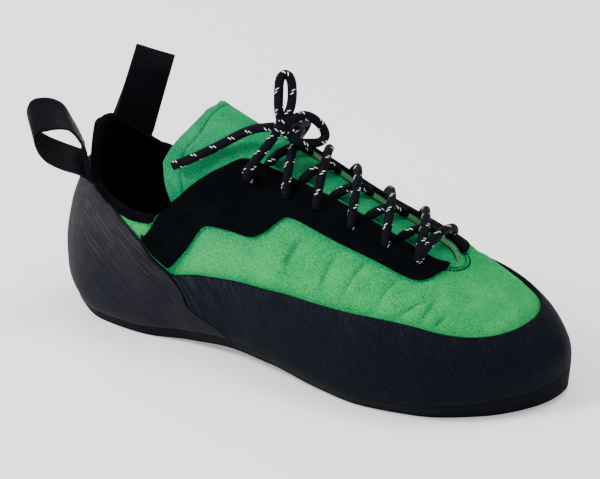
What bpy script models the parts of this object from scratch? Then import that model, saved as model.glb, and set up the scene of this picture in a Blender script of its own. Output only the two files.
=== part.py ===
"""Right-foot climbing shoe, lace-up, with a rubber rand and a slingshot heel.

Frame: metres, +X to the toe, +Y to the inner (medial) side, +Z up. The origin is on the floor under
the middle of the heel. Every curved piece is read from one last function, at its own distance from it.
"""
import math
from collections import namedtuple

import bmesh
import bpy
import numpy as np
from mathutils import Vector

# The last: the foot shape that the shoe is built round
LAST_LENGTH = 0.245
BALL_WIDTH = 0.0915
HEEL_WIDTH = 0.065
INSTEP_HEIGHT = 0.0865
HEEL_CENTRE = 0.040

# Thicknesses of the layers, and the clearance between two neighbours
UPPER_WALL = 0.0020
RAND_THICKNESS = 0.0020
HEEL_RAND_THICKNESS = 0.0023
OVERLAY_THICKNESS = 0.0012
SOLE_THICKNESS = 0.0022
SOLE_CUP = 0.0046
SOLE_EDGE_ROUND = 0.0010
SOLE_TAPER = 0.0045
INSOLE_THICKNESS = 0.0020
TONGUE_THICKNESS = 0.0018
GAP = 0.0003
TONGUE_GAP = 0.0006

# Where the layers start, measured outwards from the last
OVER_UPPER = UPPER_WALL + GAP
RAND_FACE = OVER_UPPER + RAND_THICKNESS
LAST_FLOOR = SOLE_THICKNESS + OVER_UPPER

# Sections of the last, from heel to toe. Lengths are shares of LAST_LENGTH, half widths of the width
# that lies between HEEL_WIDTH and BALL_WIDTH by the ball column, heights of INSTEP_HEIGHT.
Section = namedtuple("Section", "along ball axis lateral medial bottom widest top power_top power_low")
SECTIONS = (
    Section(0.00, 0.0, 0.000, 0.000, 0.000, 0.060, 0.320, 1.08, 2.2, 3.0),
    Section(0.03, 0.0, 0.000, 0.277, 0.277, 0.028, 0.305, 1.13, 2.3, 3.6),
    Section(0.10, 0.0, 0.000, 0.462, 0.446, 0.000, 0.270, 1.22, 2.4, 4.4),
    Section(0.20, 0.0, 0.000, 0.508, 0.492, 0.000, 0.260, 1.27, 2.5, 5.0),
    Section(0.30, 0.2, 0.000, 0.441, 0.427, 0.023, 0.250, 1.18, 2.4, 5.0),
    Section(0.40, 0.4, 0.000, 0.450, 0.410, 0.055, 0.250, 1.08, 2.1, 5.0),
    Section(0.50, 0.7, 0.000, 0.479, 0.419, 0.058, 0.225, 0.97, 1.9, 5.5),
    Section(0.60, 0.9, 0.000, 0.512, 0.450, 0.026, 0.190, 0.84, 1.8, 5.8),
    Section(0.70, 1.0, 0.005, 0.530, 0.470, 0.000, 0.168, 0.71, 1.9, 6.0),
    Section(0.80, 1.0, 0.020, 0.508, 0.459, 0.000, 0.156, 0.56, 2.0, 6.0),
    Section(0.90, 1.0, 0.047, 0.393, 0.361, 0.003, 0.142, 0.40, 2.0, 5.5),
    Section(0.97, 1.0, 0.062, 0.219, 0.193, 0.014, 0.124, 0.255, 2.0, 4.0),
    Section(1.00, 1.0, 0.064, 0.000, 0.000, 0.032, 0.120, 0.165, 2.0, 3.0),
)

# How far the back of the heel leans forward: height as a share of INSTEP_HEIGHT, shift of LAST_LENGTH
Lean = namedtuple("Lean", "height forward")
HEEL_LEAN = (
    Lean(-0.05, 0.030), Lean(0.06, 0.007), Lean(0.15, -0.001), Lean(0.30, -0.002), Lean(0.53, 0.012),
    Lean(0.76, 0.041), Lean(1.00, 0.054), Lean(1.45, 0.062),
)
LEAN_REACH = 0.35

# How far the tip of the toe is drawn back, and the share of the length where that starts
TOE_TUCK = 0.0042
TOE_TUCK_START = 0.70

# Edges drawn on the last: share of the length, and rise in degrees round the section, where -90 is the
# middle of the sole, 0 the widest line and 90 the ridge of the instep
Edge = namedtuple("Edge", "along rise")
LATERAL_RIM = (
    Edge(0.000, 61), Edge(0.015, 56), Edge(0.030, 46), Edge(0.052, 35), Edge(0.085, 28),
    Edge(0.130, 23), Edge(0.178, 20), Edge(0.223, 18.5), Edge(0.272, 27.5), Edge(0.330, 43),
    Edge(0.360, 52), Edge(0.400, 64), Edge(0.450, 68), Edge(0.503, 70.5), Edge(0.603, 75),
    Edge(0.700, 77.5), Edge(0.755, 79.5), Edge(0.780, 84), Edge(0.790, 90),
)
MEDIAL_RIM = (
    Edge(0.000, 61), Edge(0.006, 58), Edge(0.018, 49.5), Edge(0.034, 41.5), Edge(0.056, 34),
    Edge(0.085, 27.5), Edge(0.130, 22), Edge(0.178, 19.5), Edge(0.223, 19), Edge(0.272, 27),
    Edge(0.330, 43), Edge(0.360, 53), Edge(0.400, 66), Edge(0.450, 77), Edge(0.503, 80),
    Edge(0.603, 80), Edge(0.700, 77.5), Edge(0.755, 78.5), Edge(0.780, 84), Edge(0.790, 90),
)
RAND_TOP = (
    Edge(0.200, 1.5), Edge(0.278, 3.8), Edge(0.348, 7.5), Edge(0.415, 11.5), Edge(0.484, 16.4),
    Edge(0.572, 23.0), Edge(0.676, 28.5), Edge(0.787, 34.5), Edge(0.841, 37), Edge(0.872, 39.5),
    Edge(0.908, 48), Edge(0.925, 62), Edge(0.932, 76), Edge(0.9365, 90),
)
HEEL_RAND_TOP = (
    Edge(0.000, 32), Edge(0.040, 28.5), Edge(0.085, 25), Edge(0.110, 22.5), Edge(0.132, 20),
    Edge(0.170, 15.2), Edge(0.208, 11), Edge(0.234, 7), Edge(0.278, 3.4), Edge(0.318, -1.5),
    Edge(0.366, -10), Edge(0.397, -21), Edge(0.415, -50),
)
EYESTAY_FOOT = (
    Edge(0.212, 11), Edge(0.262, 5.2), Edge(0.306, 12.5), Edge(0.348, 25), Edge(0.397, 29),
    Edge(0.446, 32.2), Edge(0.472, 38), Edge(0.509, 50), Edge(0.572, 52.7), Edge(0.622, 54.3),
    Edge(0.688, 56.7), Edge(0.733, 57.8), Edge(0.760, 60.5), Edge(0.775, 67), Edge(0.781, 73),
)
TONGUE_FOOT = (
    Edge(0.234, 39), Edge(0.243, 31), Edge(0.272, 24), Edge(0.300, 25), Edge(0.330, 31),
    Edge(0.400, 47), Edge(0.500, 54), Edge(0.600, 58), Edge(0.700, 62), Edge(0.812, 68),
)
TONGUE_TOP = (
    Edge(0.234, 39), Edge(0.245, 46), Edge(0.258, 53.5), Edge(0.272, 61.5), Edge(0.283, 72),
    Edge(0.289, 84), Edge(0.290, 90),
)

# The lace: its eyelets from the collar forwards, and how high its strands run
Eyelet = namedtuple("Eyelet", "along lateral medial")
EYELETS = (
    Eyelet(0.421, 55, 62), Eyelet(0.491, 58, 69.5), Eyelet(0.547, 62, 70.5),
    Eyelet(0.616, 64.5, 70.5), Eyelet(0.682, 66.5, 68), Eyelet(0.741, 69.5, 67),
)
EYELET_DIAMETER = 0.0048
EYELET_SIDES = 8
LACE_DIAMETER = 0.0042
STRAND_POINTS = 6
STRAND_SEAT = 0.0007
UNDER_STRAND = 0.0056
OVER_STRAND = 0.0078
KNOT_CENTRE = (0.0720, -0.0098, 0.1076)
KNOT_RADIUS = 0.0056

# Routes of the free lace, in metres from the middle of the knot
LOOP_UP_ROUTE = (
    (-0.0027, 0.0016, 0.0060), (-0.0043, 0.0042, 0.0100), (-0.0057, 0.0072, 0.0149),
    (-0.0063, 0.0100, 0.0183), (-0.0055, 0.0118, 0.0199), (-0.0036, 0.0122, 0.0188),
    (-0.0014, 0.0111, 0.0153), (0.0002, 0.0086, 0.0113), (0.0010, 0.0058, 0.0070),
)
LOOP_SIDE_ROUTE = (
    (0.0049, 0.0035, 0.0038), (0.0077, 0.0067, 0.0044), (0.0110, 0.0097, 0.0018),
    (0.0142, 0.0117, -0.0025), (0.0155, 0.0117, -0.0063), (0.0141, 0.0087, -0.0081),
    (0.0110, 0.0043, -0.0074), (0.0081, -0.0004, -0.0061),
)
LACE_END_ROUTE = (
    (-0.0062, -0.0036, -0.0006), (-0.0102, -0.0038, -0.0016), (-0.0180, -0.0045, -0.0054),
    (-0.0251, -0.0083, -0.0100), (-0.0326, -0.0132, -0.0146), (-0.0399, -0.0166, -0.0186),
    (-0.0455, -0.0186, -0.0213),
)
CORD_POINT_SPACING = 0.0042

# The pull loops: webbing folded in two, its ends sewn to the outside of the collar. Each row is a
# place along the webbing: where its rear and its front edge lie, in shares of LOOP_REACH from a point
# of the collar.
WEBBING_THICKNESS = 0.0012
LOOP_REACH = 0.036
LOOP_ALONG = 0.05
LOOP_DROP = 3
Fold = namedtuple("Fold", "rear_forward rear_inward rear_up front_forward front_inward front_up")
LATERAL_LOOP = (
    Fold(-0.12, 0.15, 0.10, 0.16, -0.17, -0.14), Fold(-0.27, 0.15, 0.12, 0.04, -0.23, -0.06),
    Fold(-0.51, 0.15, 0.15, -0.24, -0.27, -0.01), Fold(-0.71, 0.10, 0.22, -0.45, -0.30, 0.07),
    Fold(-0.88, 0.08, 0.32, -0.56, -0.28, 0.15), Fold(-0.98, 0.11, 0.51, -0.64, -0.23, 0.31),
    Fold(-0.94, 0.16, 0.63, -0.63, -0.16, 0.37), Fold(-0.82, 0.25, 0.66, -0.57, -0.10, 0.38),
    Fold(-0.66, 0.37, 0.59, -0.45, -0.05, 0.41), Fold(-0.49, 0.39, 0.37, -0.25, -0.04, 0.43),
    Fold(-0.32, 0.33, 0.19, -0.06, -0.09, 0.34), Fold(-0.20, 0.19, 0.19, 0.11, -0.20, 0.15),
    Fold(-0.18, 0.11, 0.12, 0.16, -0.26, -0.03),
)
MEDIAL_LOOP = (
    Fold(-0.21, -0.32, 0.28, 0.08, 0.10, -0.07), Fold(-0.17, -0.10, 0.72, 0.18, 0.26, 0.48),
    Fold(-0.21, 0.21, 1.05, 0.23, 0.44, 0.91), Fold(-0.23, 0.27, 1.08, 0.22, 0.49, 0.93),
    Fold(-0.25, 0.30, 1.03, 0.19, 0.52, 0.88), Fold(-0.26, 0.05, 0.67, 0.10, 0.40, 0.43),
    Fold(-0.27, -0.27, 0.28, 0.05, 0.18, -0.06),
)

# Lines of the common grid that all layers share, so that their facets keep an even clearance
GRID_ALONG = (
    0.000, 0.006, 0.018, 0.034, 0.056, 0.085, 0.130, 0.170, 0.212, 0.250, 0.285, 0.318, 0.348, 0.366,
    0.382, 0.397, 0.446, 0.480, 0.512, 0.560, 0.620, 0.680, 0.740, 0.780, 0.820, 0.868, 0.908, 0.936,
    0.960, 0.980, 0.994, 1.000,
)
GRID_RISE = (-90, -75, -58, -44, -31, -17, 0, 12, 22, 30, 38, 48, 60, 72, 82, 90)
UPPER_MARGIN = -75
TOE_MARGIN = -58
LATERAL, MEDIAL = "lateral", "medial"


def smooth_curve(knots, values, at):
    """Values between the knots on a curve that keeps to their rises and falls (monotone cubic)."""
    knots, values = np.asarray(knots, float), np.asarray(values, float)
    at = np.asarray(at, float)
    steps = np.diff(knots)
    slopes = np.diff(values) / steps
    tangents = np.empty_like(values)
    tangents[0], tangents[-1] = slopes[0], slopes[-1]
    for i in range(1, len(knots) - 1):
        before, after = slopes[i - 1], slopes[i]
        if before * after <= 0:
            tangents[i] = 0.0
        else:
            near, far = 2 * steps[i] + steps[i - 1], steps[i] + 2 * steps[i - 1]
            tangents[i] = (near + far) / (near / before + far / after)
    i = np.clip(np.searchsorted(knots, at) - 1, 0, len(knots) - 2)
    t = (at - knots[i]) / steps[i]
    return (
        (1 + 2 * t) * (1 - t) ** 2 * values[i]
        + t * (1 - t) ** 2 * steps[i] * tangents[i]
        + t * t * (3 - 2 * t) * values[i + 1]
        + t * t * (t - 1) * steps[i] * tangents[i + 1]
    )


def station(along):
    """The end-rounding parameter, 0 at the heel and 1 at the toe, of a share of the length."""
    return np.arccos(1 - 2 * np.clip(along, 0.0, 1.0)) / math.pi


SECTION_STATIONS = station([row.along for row in SECTIONS])


def section_column(name, at):
    return smooth_curve(SECTION_STATIONS, [getattr(row, name) for row in SECTIONS], at)


def last_point(at, angle):
    """A point of the last: station 0..1, and angle round the section, -90 sole, 0 lateral, 90 ridge."""
    at, angle = np.broadcast_arrays(np.asarray(at, float), np.radians(np.asarray(angle, float)))
    width = HEEL_WIDTH + (BALL_WIDTH - HEEL_WIDTH) * section_column("ball", at)
    bottom, widest, top = (section_column(n, at) * INSTEP_HEIGHT for n in ("bottom", "widest", "top"))
    cosine, sine = np.cos(angle), np.sin(angle)
    half = np.where(cosine > 0, -section_column("lateral", at), section_column("medial", at)) * width
    power = np.where(sine > 0, section_column("power_top", at), section_column("power_low", at))
    reach = np.where(sine > 0, top - widest, widest - bottom)
    y = section_column("axis", at) * BALL_WIDTH + half * np.abs(cosine) ** (2 / power)
    height = widest + reach * np.sign(sine) * np.abs(sine) ** (2 / power)
    x = LAST_LENGTH * (1 - np.cos(math.pi * at)) / 2
    lean = smooth_curve(
        [row.height for row in HEEL_LEAN], [row.forward for row in HEEL_LEAN],
        np.clip(height / INSTEP_HEIGHT, HEEL_LEAN[0].height, HEEL_LEAN[-1].height),
    )
    share = x / LAST_LENGTH
    x = x + LAST_LENGTH * lean * np.clip(1 - share / LEAN_REACH, 0, 1) ** 1.5
    x = x - TOE_TUCK * np.clip((share - TOE_TUCK_START) / (1 - TOE_TUCK_START), 0, 1) ** 2
    return np.stack([x - HEEL_CENTRE, y, height + LAST_FLOOR], -1)


def last_normal(at, angle):
    """The outward unit normal of the last, the same from both sides at the two ends."""
    end, step, turn = 0.012, 1e-3, 0.05
    inner = np.clip(at, end, 1 - end)

    def one_side(degrees):
        along = last_point(inner + step, degrees) - last_point(inner - step, degrees)
        across = last_point(inner, degrees + turn) - last_point(inner, degrees - turn)
        normal = np.cross(along, across)
        return normal / np.linalg.norm(normal, axis=-1, keepdims=True)

    normal = one_side(np.asarray(angle, float))
    other = one_side(180.0 - np.asarray(angle, float))
    at_end = (np.asarray(at) <= 0) | (np.asarray(at) >= 1)
    normal = np.where(at_end[..., None], normal + other, normal)
    return normal / np.linalg.norm(normal, axis=-1, keepdims=True)


def layer_point(along, rise, side, offset=0.0):
    """A point at a distance outside the last: share of the length, rise in degrees, side."""
    at = station(along)
    angle = rise if side == LATERAL else 180.0 - rise
    at, angle = np.broadcast_arrays(np.asarray(at, float), np.asarray(angle, float))
    return last_point(at, angle) + last_normal(at, angle) * offset


def edge_curve(table):
    """An edge on the last as a function of the share of the length."""
    alongs, rises = [row.along for row in table], [row.rise for row in table]
    return lambda along: float(smooth_curve(alongs, rises, min(max(along, alongs[0]), alongs[-1])))


def rise_above_bottom(along, height):
    """The rise, below the widest line, of a line at a height above the bottom of the last."""
    at = station(along)
    bottom, widest = section_column("bottom", at), section_column("widest", at)
    share = 1 - height / ((widest - bottom) * INSTEP_HEIGHT)
    return -math.degrees(math.asin(float(share) ** (float(section_column("power_low", at)) / 2)))


rim = {LATERAL: edge_curve(LATERAL_RIM), MEDIAL: edge_curve(MEDIAL_RIM)}
rand_top = edge_curve(RAND_TOP)
heel_rand_top = edge_curve(HEEL_RAND_TOP)
eyestay_foot = edge_curve(EYESTAY_FOOT)
tongue_foot = edge_curve(TONGUE_FOOT)
tongue_top = edge_curve(TONGUE_TOP)
GAP_RISE = 0.45
COLLAR_RISE = 3.6
GAP_ALONG = GAP * 1.4 / LAST_LENGTH


def eyestay_setback(along):
    """How far, in degrees, the stay's edge lies below the rim: nothing at the collar, a little ahead."""
    return 2.0 * min(max((along - 0.35) / 0.1, 0.0), 1.0)


def sole_rise(along):
    return rise_above_bottom(along, SOLE_CUP)


def rand_foot(along):
    return rise_above_bottom(along, SOLE_CUP + 2 * GAP)


def grid_lines(start, end, extra=()):
    """The shared lengthwise lines from start to end, with a piece's own lines between them."""
    own = sorted({start, end, *extra})
    shared = [line for line in GRID_ALONG if start < line < end]
    kept = [line for line in shared if min(abs(line - other) for other in own) > 0.004]
    return sorted(kept + own)


def sheet_mesh(name, lines, low, high, offset, sides=(LATERAL, MEDIAL), place=layer_point):
    """An open sheet on the last between two edges, its two sides welded where they meet."""
    points, index, faces = [], {}, []

    def vertex(position):
        key = tuple(round(float(c) / 2e-5) for c in position)
        if key not in index:
            index[key] = len(points)
            points.append(tuple(float(c) for c in position))
        return index[key]

    for side in sides:
        columns = []
        for along in lines:
            bottom, top = low(along, side), high(along, side)
            rises = np.clip(GRID_RISE, bottom, max(bottom, top)).astype(float)
            columns.append([vertex(p) for p in place(along, rises, side, offset)])
        for near, far in zip(columns, columns[1:]):
            for row in range(len(GRID_RISE) - 1):
                corners = [near[row], far[row], far[row + 1], near[row + 1]]
                corners = [c for i, c in enumerate(corners) if c != corners[i - 1]]
                if len(set(corners)) < 3:
                    continue
                faces.append(corners if side == LATERAL else corners[::-1])
    mesh = bpy.data.meshes.new(name)
    mesh.from_pydata(points, [], faces)
    mesh.update()
    return mesh


def new_object(name, mesh, collection, material):
    piece = bpy.data.objects.new(name, mesh)
    collection.objects.link(piece)
    if material:
        mesh.materials.clear()
        mesh.materials.append(material)
    mesh.shade_smooth()
    return piece


def shell(name, collection, material, lines, low, high, inner, thickness, sides=(LATERAL, MEDIAL)):
    """A wall of even thickness: a sheet on the last, thickened outwards."""
    mesh = sheet_mesh(name, lines, low, high, inner, sides)
    piece = new_object(name, mesh, collection, material)
    wall = piece.modifiers.new("wall", "SOLIDIFY")
    wall.thickness = thickness
    wall.offset = 1.0
    wall.use_even_offset = True
    wall.use_rim = True
    mesh.set_sharp_from_angle(angle=math.radians(40))
    return piece


def new_material(name, colour, roughness, metallic=0.0):
    material = bpy.data.materials.new(name)
    material.use_nodes = True
    shader = material.node_tree.nodes["Principled BSDF"]
    shader.inputs["Base Color"].default_value = (*colour, 1.0)
    shader.inputs["Roughness"].default_value = roughness
    shader.inputs["Metallic"].default_value = metallic
    return material


def build_upper(shoe):
    """One hollow wall round the last, open at the collar, the throat and underneath."""
    suede = new_material("green_suede", (0.13, 0.52, 0.22), 0.9)
    lines = grid_lines(0.0, 1.0, extra=(0.755, 0.784, 0.790))
    return shell(
        "upper", shoe, suede, lines,
        lambda along, side: UPPER_MARGIN if along < 0.97 else TOE_MARGIN,
        lambda along, side: rim[side](along) if along < 0.79 else 90.0, 0.0, UPPER_WALL,
    )


def build_insole(shoe):
    lines = grid_lines(0.012, 0.988)
    fabric = new_material("insole_fabric", (0.10, 0.10, 0.10), 0.95)
    return shell(
        "insole", shoe, fabric, lines, lambda along, side: -90.0,
        lambda along, side: rise_above_bottom(along, SOLE_CUP), -GAP - INSOLE_THICKNESS,
        INSOLE_THICKNESS,
    )


def build_tongue(shoe):
    suede = new_material("tongue_suede", (0.10, 0.45, 0.25), 0.9)
    lines = grid_lines(0.234, 0.812, extra=(0.245, 0.258, 0.272, 0.283, 0.290))
    return shell(
        "tongue", shoe, suede, lines, lambda along, side: tongue_foot(along),
        lambda along, side: tongue_top(along), -TONGUE_GAP - TONGUE_THICKNESS, TONGUE_THICKNESS,
    )


def sole_section(along, side):
    """Half a section of the sole: its cupped top from the middle out, then its side and its tread."""
    edge = sole_rise(along)
    rises = np.clip([rise for rise in GRID_RISE if rise < 0], -90, edge).astype(float)
    top = [layer_point(along, rise, side, OVER_UPPER) for rise in rises]
    lip = layer_point(along, edge, side, RAND_FACE)
    tread = float(section_column("bottom", station(along))) * INSTEP_HEIGHT
    middle = np.array([top[0][0], top[0][1], tread])
    inset = (middle - lip) * (SOLE_TAPER * 2 / BALL_WIDTH)
    side_foot = np.array([lip[0] + inset[0], lip[1] + inset[1], tread + SOLE_EDGE_ROUND])
    edge_foot = side_foot + (middle - side_foot) * (2 * SOLE_EDGE_ROUND / BALL_WIDTH)
    edge_foot[2] = tread
    return top + [lip, side_foot, edge_foot, middle]


def build_outsole(shoe):
    """The sole plate: cupped round the last above, level across below, arched and sprung lengthwise."""
    rubber = new_material("sole_rubber", (0.03, 0.03, 0.035), 0.75)
    solid = bmesh.new()
    for side in (LATERAL, MEDIAL):
        columns = []
        for along in grid_lines(0.0, 1.0):
            columns.append([solid.verts.new(point) for point in sole_section(along, side)])
        for near, far in zip(columns, columns[1:]):
            for row in range(len(near) - 1):
                corners = (near[row], near[row + 1], far[row + 1], far[row])
                solid.faces.new(corners if side == LATERAL else corners[::-1])
    bmesh.ops.remove_doubles(solid, verts=solid.verts, dist=2e-5)
    bmesh.ops.dissolve_degenerate(solid, edges=solid.edges, dist=1e-5)
    bmesh.ops.recalc_face_normals(solid, faces=solid.faces)
    mesh = bpy.data.meshes.new("outsole")
    solid.to_mesh(mesh)
    solid.free()
    piece = new_object("outsole", mesh, shoe, rubber)
    mesh.set_sharp_from_angle(angle=math.radians(40))
    return piece


def build_rands(shoe):
    """The rubber rand round the foot, and the slingshot rand that wraps the heel over its rear ends."""
    rubber = new_material("rand_rubber", (0.035, 0.035, 0.045), 0.7)
    heel_lines = grid_lines(0.0, 0.412)
    shell(
        "heel_rand", shoe, rubber, heel_lines, lambda along, side: rand_foot(along),
        lambda along, side: heel_rand_top(along), OVER_UPPER, HEEL_RAND_THICKNESS,
    )
    side_lines = grid_lines(0.276, 1.0, extra=(0.925, 0.932, 0.9365))
    shell(
        "toe_rand", shoe, rubber, side_lines,
        lambda along, side: max(rand_foot(along), heel_rand_top(along - GAP_ALONG) + GAP_RISE),
        lambda along, side: rand_top(along), OVER_UPPER, RAND_THICKNESS,
    )


def build_collar_band(shoe):
    """The binding round the back of the collar, down to the heel rand."""
    fabric = new_material("collar_fabric", (0.03, 0.04, 0.06), 0.9)
    shell(
        "collar_band", shoe, fabric, grid_lines(0.0, 0.2085),
        lambda along, side: max(heel_rand_top(along) + 2 * GAP_RISE, rim[side](along) - COLLAR_RISE),
        lambda along, side: rim[side](along), OVER_UPPER, OVERLAY_THICKNESS,
    )


def build_eyestays(shoe):
    """The two lace stays, each with a tail that runs back and down to the heel rand."""
    suede = new_material("black_suede", (0.012, 0.012, 0.014), 0.95)
    corners = (0.262, 0.306, 0.348, 0.397, 0.446, 0.472, 0.509, 0.733, 0.760, 0.775, 0.782)
    stays = {}
    for side in (LATERAL, MEDIAL):
        stays[f"eyestay_{side}"] = shell(
            f"eyestay_{side}", shoe, suede, grid_lines(0.212, 0.7855, extra=corners),
            lambda along, side: max(eyestay_foot(along), heel_rand_top(along) + 2 * GAP_RISE)
            if along < 0.783 else 79.0,
            lambda along, side: max(rim[side](along) - eyestay_setback(along), eyestay_foot(along)),
            OVER_UPPER, OVERLAY_THICKNESS, sides=(side,),
        )
    return stays


def angle_point(along, angle, offset):
    """A point outside the last by its angle round the whole section, lateral side first."""
    return layer_point(along, angle, LATERAL, offset)


def cut_eyelets(pieces, cutters):
    """Punch the eyelets through the stays and the upper, square to the surface."""
    for row, eyelet in enumerate(EYELETS):
        for side in (LATERAL, MEDIAL):
            rise = getattr(eyelet, side)
            foot = Vector(layer_point(eyelet.along, rise, side, -OVER_UPPER))
            head = Vector(layer_point(eyelet.along, rise, side, 2 * RAND_FACE))
            bpy.ops.mesh.primitive_cylinder_add(
                vertices=EYELET_SIDES, radius=EYELET_DIAMETER / 2, depth=(head - foot).length,
                location=(head + foot) / 2, rotation=(head - foot).to_track_quat("Z", "Y").to_euler(),
            )
            punch = bpy.context.object
            punch.name = f"eyelet_punch_{side}_{row}"
            move_to(punch, cutters)
            hide_guide(punch)
            for piece in (pieces["upper"], pieces[f"eyestay_{side}"]):
                cut = piece.modifiers.new(punch.name, "BOOLEAN")
                cut.object = punch
                cut.operation = "DIFFERENCE"


def move_to(piece, collection):
    for old in list(piece.users_collection):
        old.objects.unlink(piece)
    collection.objects.link(piece)


def hide_guide(piece):
    piece.hide_render = True
    piece.display_type = "WIRE"


def even_points(route, count):
    """So many even points on a smooth curve through a route's own points."""
    route = np.asarray(route, float)
    chord = np.concatenate([[0.0], np.cumsum(np.linalg.norm(np.diff(route, axis=0), axis=1))])
    fine = np.linspace(0, chord[-1], 400)
    curve = np.stack([spline_through(chord, route[:, axis], fine) for axis in range(3)], -1)
    length = np.concatenate([[0.0], np.cumsum(np.linalg.norm(np.diff(curve, axis=0), axis=1))])
    even = np.linspace(0, length[-1], count)
    return np.stack([np.interp(even, length, curve[:, axis]) for axis in range(3)], -1)


def smooth_route(route):
    """A route's points made even and smooth, at the spacing that suits a lace."""
    route = np.asarray(route, float)
    reach = np.linalg.norm(np.diff(route, axis=0), axis=1).sum()
    return even_points(route, round(reach / CORD_POINT_SPACING) + 1)


def spline_through(knots, values, at):
    """A smooth curve through the values, its slope at each knot set by the knots beside it."""
    tangents = np.gradient(values, knots)
    i = np.clip(np.searchsorted(knots, at) - 1, 0, len(knots) - 2)
    step = knots[i + 1] - knots[i]
    t = (at - knots[i]) / step
    return (
        (1 + 2 * t) * (1 - t) ** 2 * values[i]
        + t * (1 - t) ** 2 * step * tangents[i]
        + t * t * (3 - 2 * t) * values[i + 1]
        + t * t * (t - 1) * step * tangents[i + 1]
    )


def lace_tube(name, points, collection, material):
    curve = bpy.data.curves.new(name, "CURVE")
    curve.dimensions = "3D"
    curve.bevel_depth = LACE_DIAMETER / 2
    curve.bevel_resolution = 2
    curve.use_fill_caps = True
    spline = curve.splines.new("POLY")
    spline.points.add(len(points) - 1)
    for point, place in zip(spline.points, points):
        point.co = (*place, 1.0)
    curve.materials.append(material)
    tube = bpy.data.objects.new(name, curve)
    collection.objects.link(tube)
    return tube


def as_mesh(tube, collection):
    """A tube made a closed mesh, so that it can be joined."""
    bpy.context.view_layer.update()
    evaluated = tube.evaluated_get(bpy.context.evaluated_depsgraph_get())
    mesh = bpy.data.meshes.new_from_object(evaluated)
    solid = bmesh.new()
    solid.from_mesh(mesh)
    bmesh.ops.remove_doubles(solid, verts=solid.verts, dist=1e-5)
    bmesh.ops.recalc_face_normals(solid, faces=solid.faces)
    solid.to_mesh(mesh)
    solid.free()
    name = tube.name
    piece = bpy.data.objects.new(name + "_solid", mesh)
    piece.matrix_world = tube.matrix_world
    collection.objects.link(piece)
    bpy.data.objects.remove(tube, do_unlink=True)
    piece.name = name
    return piece


def strand_points(start, end, middle_offset):
    """A strand of lace over the throat, from one eyelet (along, angle) to another."""
    seat = OVER_UPPER + OVERLAY_THICKNESS + STRAND_SEAT + LACE_DIAMETER / 2
    points = []
    for share in np.linspace(0, 1, STRAND_POINTS):
        along = start[0] + (end[0] - start[0]) * share
        angle = start[1] + (end[1] - start[1]) * share
        dip = math.sin(math.pi * share) ** 2
        points.append(angle_point(along, angle, seat + (middle_offset - seat) * dip))
    return points


def seated_on_knot(route, is_loop):
    """A route from the middle of the knot with its start, and a loop's end, square on the knot."""
    route = np.array(route)
    seat = KNOT_RADIUS + GAP
    ends = [point / np.linalg.norm(point) * seat for point in (route[0], route[-1])]
    return np.vstack([ends[:1], route, ends[1:]] if is_loop else [ends[:1], route])


def build_lace(shoe, cutters):
    """Crossing strands joined into one solid, and the knot, loops and ends of the bow."""
    cord = new_material("lace_cord", (0.015, 0.015, 0.018), 0.8)
    knot = np.array(KNOT_CENTRE)
    eyes = {
        side: [(e.along, e.lateral if side == LATERAL else 180.0 - e.medial) for e in EYELETS]
        for side in (LATERAL, MEDIAL)
    }
    last = len(EYELETS) - 1
    strands = [strand_points(eyes[LATERAL][last], eyes[MEDIAL][last], OVER_STRAND)]
    for row in range(last):
        strands.append(strand_points(eyes[LATERAL][row + 1], eyes[MEDIAL][row], OVER_STRAND))
        strands.append(strand_points(eyes[MEDIAL][row + 1], eyes[LATERAL][row], UNDER_STRAND))
    for side in (LATERAL, MEDIAL):
        seat = OVER_UPPER + OVERLAY_THICKNESS + STRAND_SEAT + LACE_DIAMETER / 2
        foot = angle_point(*eyes[side][0], seat)
        lift = angle_point(*eyes[side][0], seat + 1.5 * LACE_DIAMETER)
        strands.append(smooth_route(knot + seated_on_knot([lift - knot, foot - knot], False)))
    tubes = [
        as_mesh(lace_tube(f"strand_{i}", points, cutters, cord), cutters)
        for i, points in enumerate(strands)
    ]
    crossings = tubes[0]
    crossings.name = "lace_crossings"
    move_to(crossings, shoe)
    for tube in tubes[1:]:
        hide_guide(tube)
        joined = crossings.modifiers.new(tube.name, "BOOLEAN")
        joined.object = tube
        joined.operation = "UNION"
    crossings.data.shade_smooth()
    bpy.ops.mesh.primitive_uv_sphere_add(
        segments=14, ring_count=8, radius=KNOT_RADIUS, location=KNOT_CENTRE,
    )
    ball = bpy.context.object
    ball.name = "lace_knot"
    ball.data.materials.append(cord)
    ball.data.shade_smooth()
    move_to(ball, shoe)
    routes = {
        "lace_loop_up": (LOOP_UP_ROUTE, True), "lace_loop_side": (LOOP_SIDE_ROUTE, True),
        "lace_end": (LACE_END_ROUTE, False),
    }
    for name, (route, is_loop) in routes.items():
        points = knot + seated_on_knot(route, is_loop)
        lace_tube(name, smooth_route(points), shoe, cord)


def build_pull_loop(name, side, folds, shoe, material):
    """A webbing loop between two smooth edges, both ends on the outside of the collar."""
    outside = OVER_UPPER + OVERLAY_THICKNESS + GAP + WEBBING_THICKNESS / 2
    root = layer_point(LOOP_ALONG, rim[side](LOOP_ALONG) - LOOP_DROP, side, outside)
    rows = root + np.array(folds).reshape(-1, 2, 3) * LOOP_REACH
    steps = 2 * len(rows) - 1
    edges = [even_points(rows[:, edge], steps) for edge in (0, 1)]
    points = [tuple(float(c) for c in point) for edge in edges for point in edge]
    faces = [(i, i + 1, steps + i + 1, steps + i) for i in range(steps - 1)]
    mesh = bpy.data.meshes.new(name)
    mesh.from_pydata(points, [], faces)
    loop = new_object(name, mesh, shoe, material)
    wall = loop.modifiers.new("webbing", "SOLIDIFY")
    wall.thickness = WEBBING_THICKNESS
    wall.offset = 0.0


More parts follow.
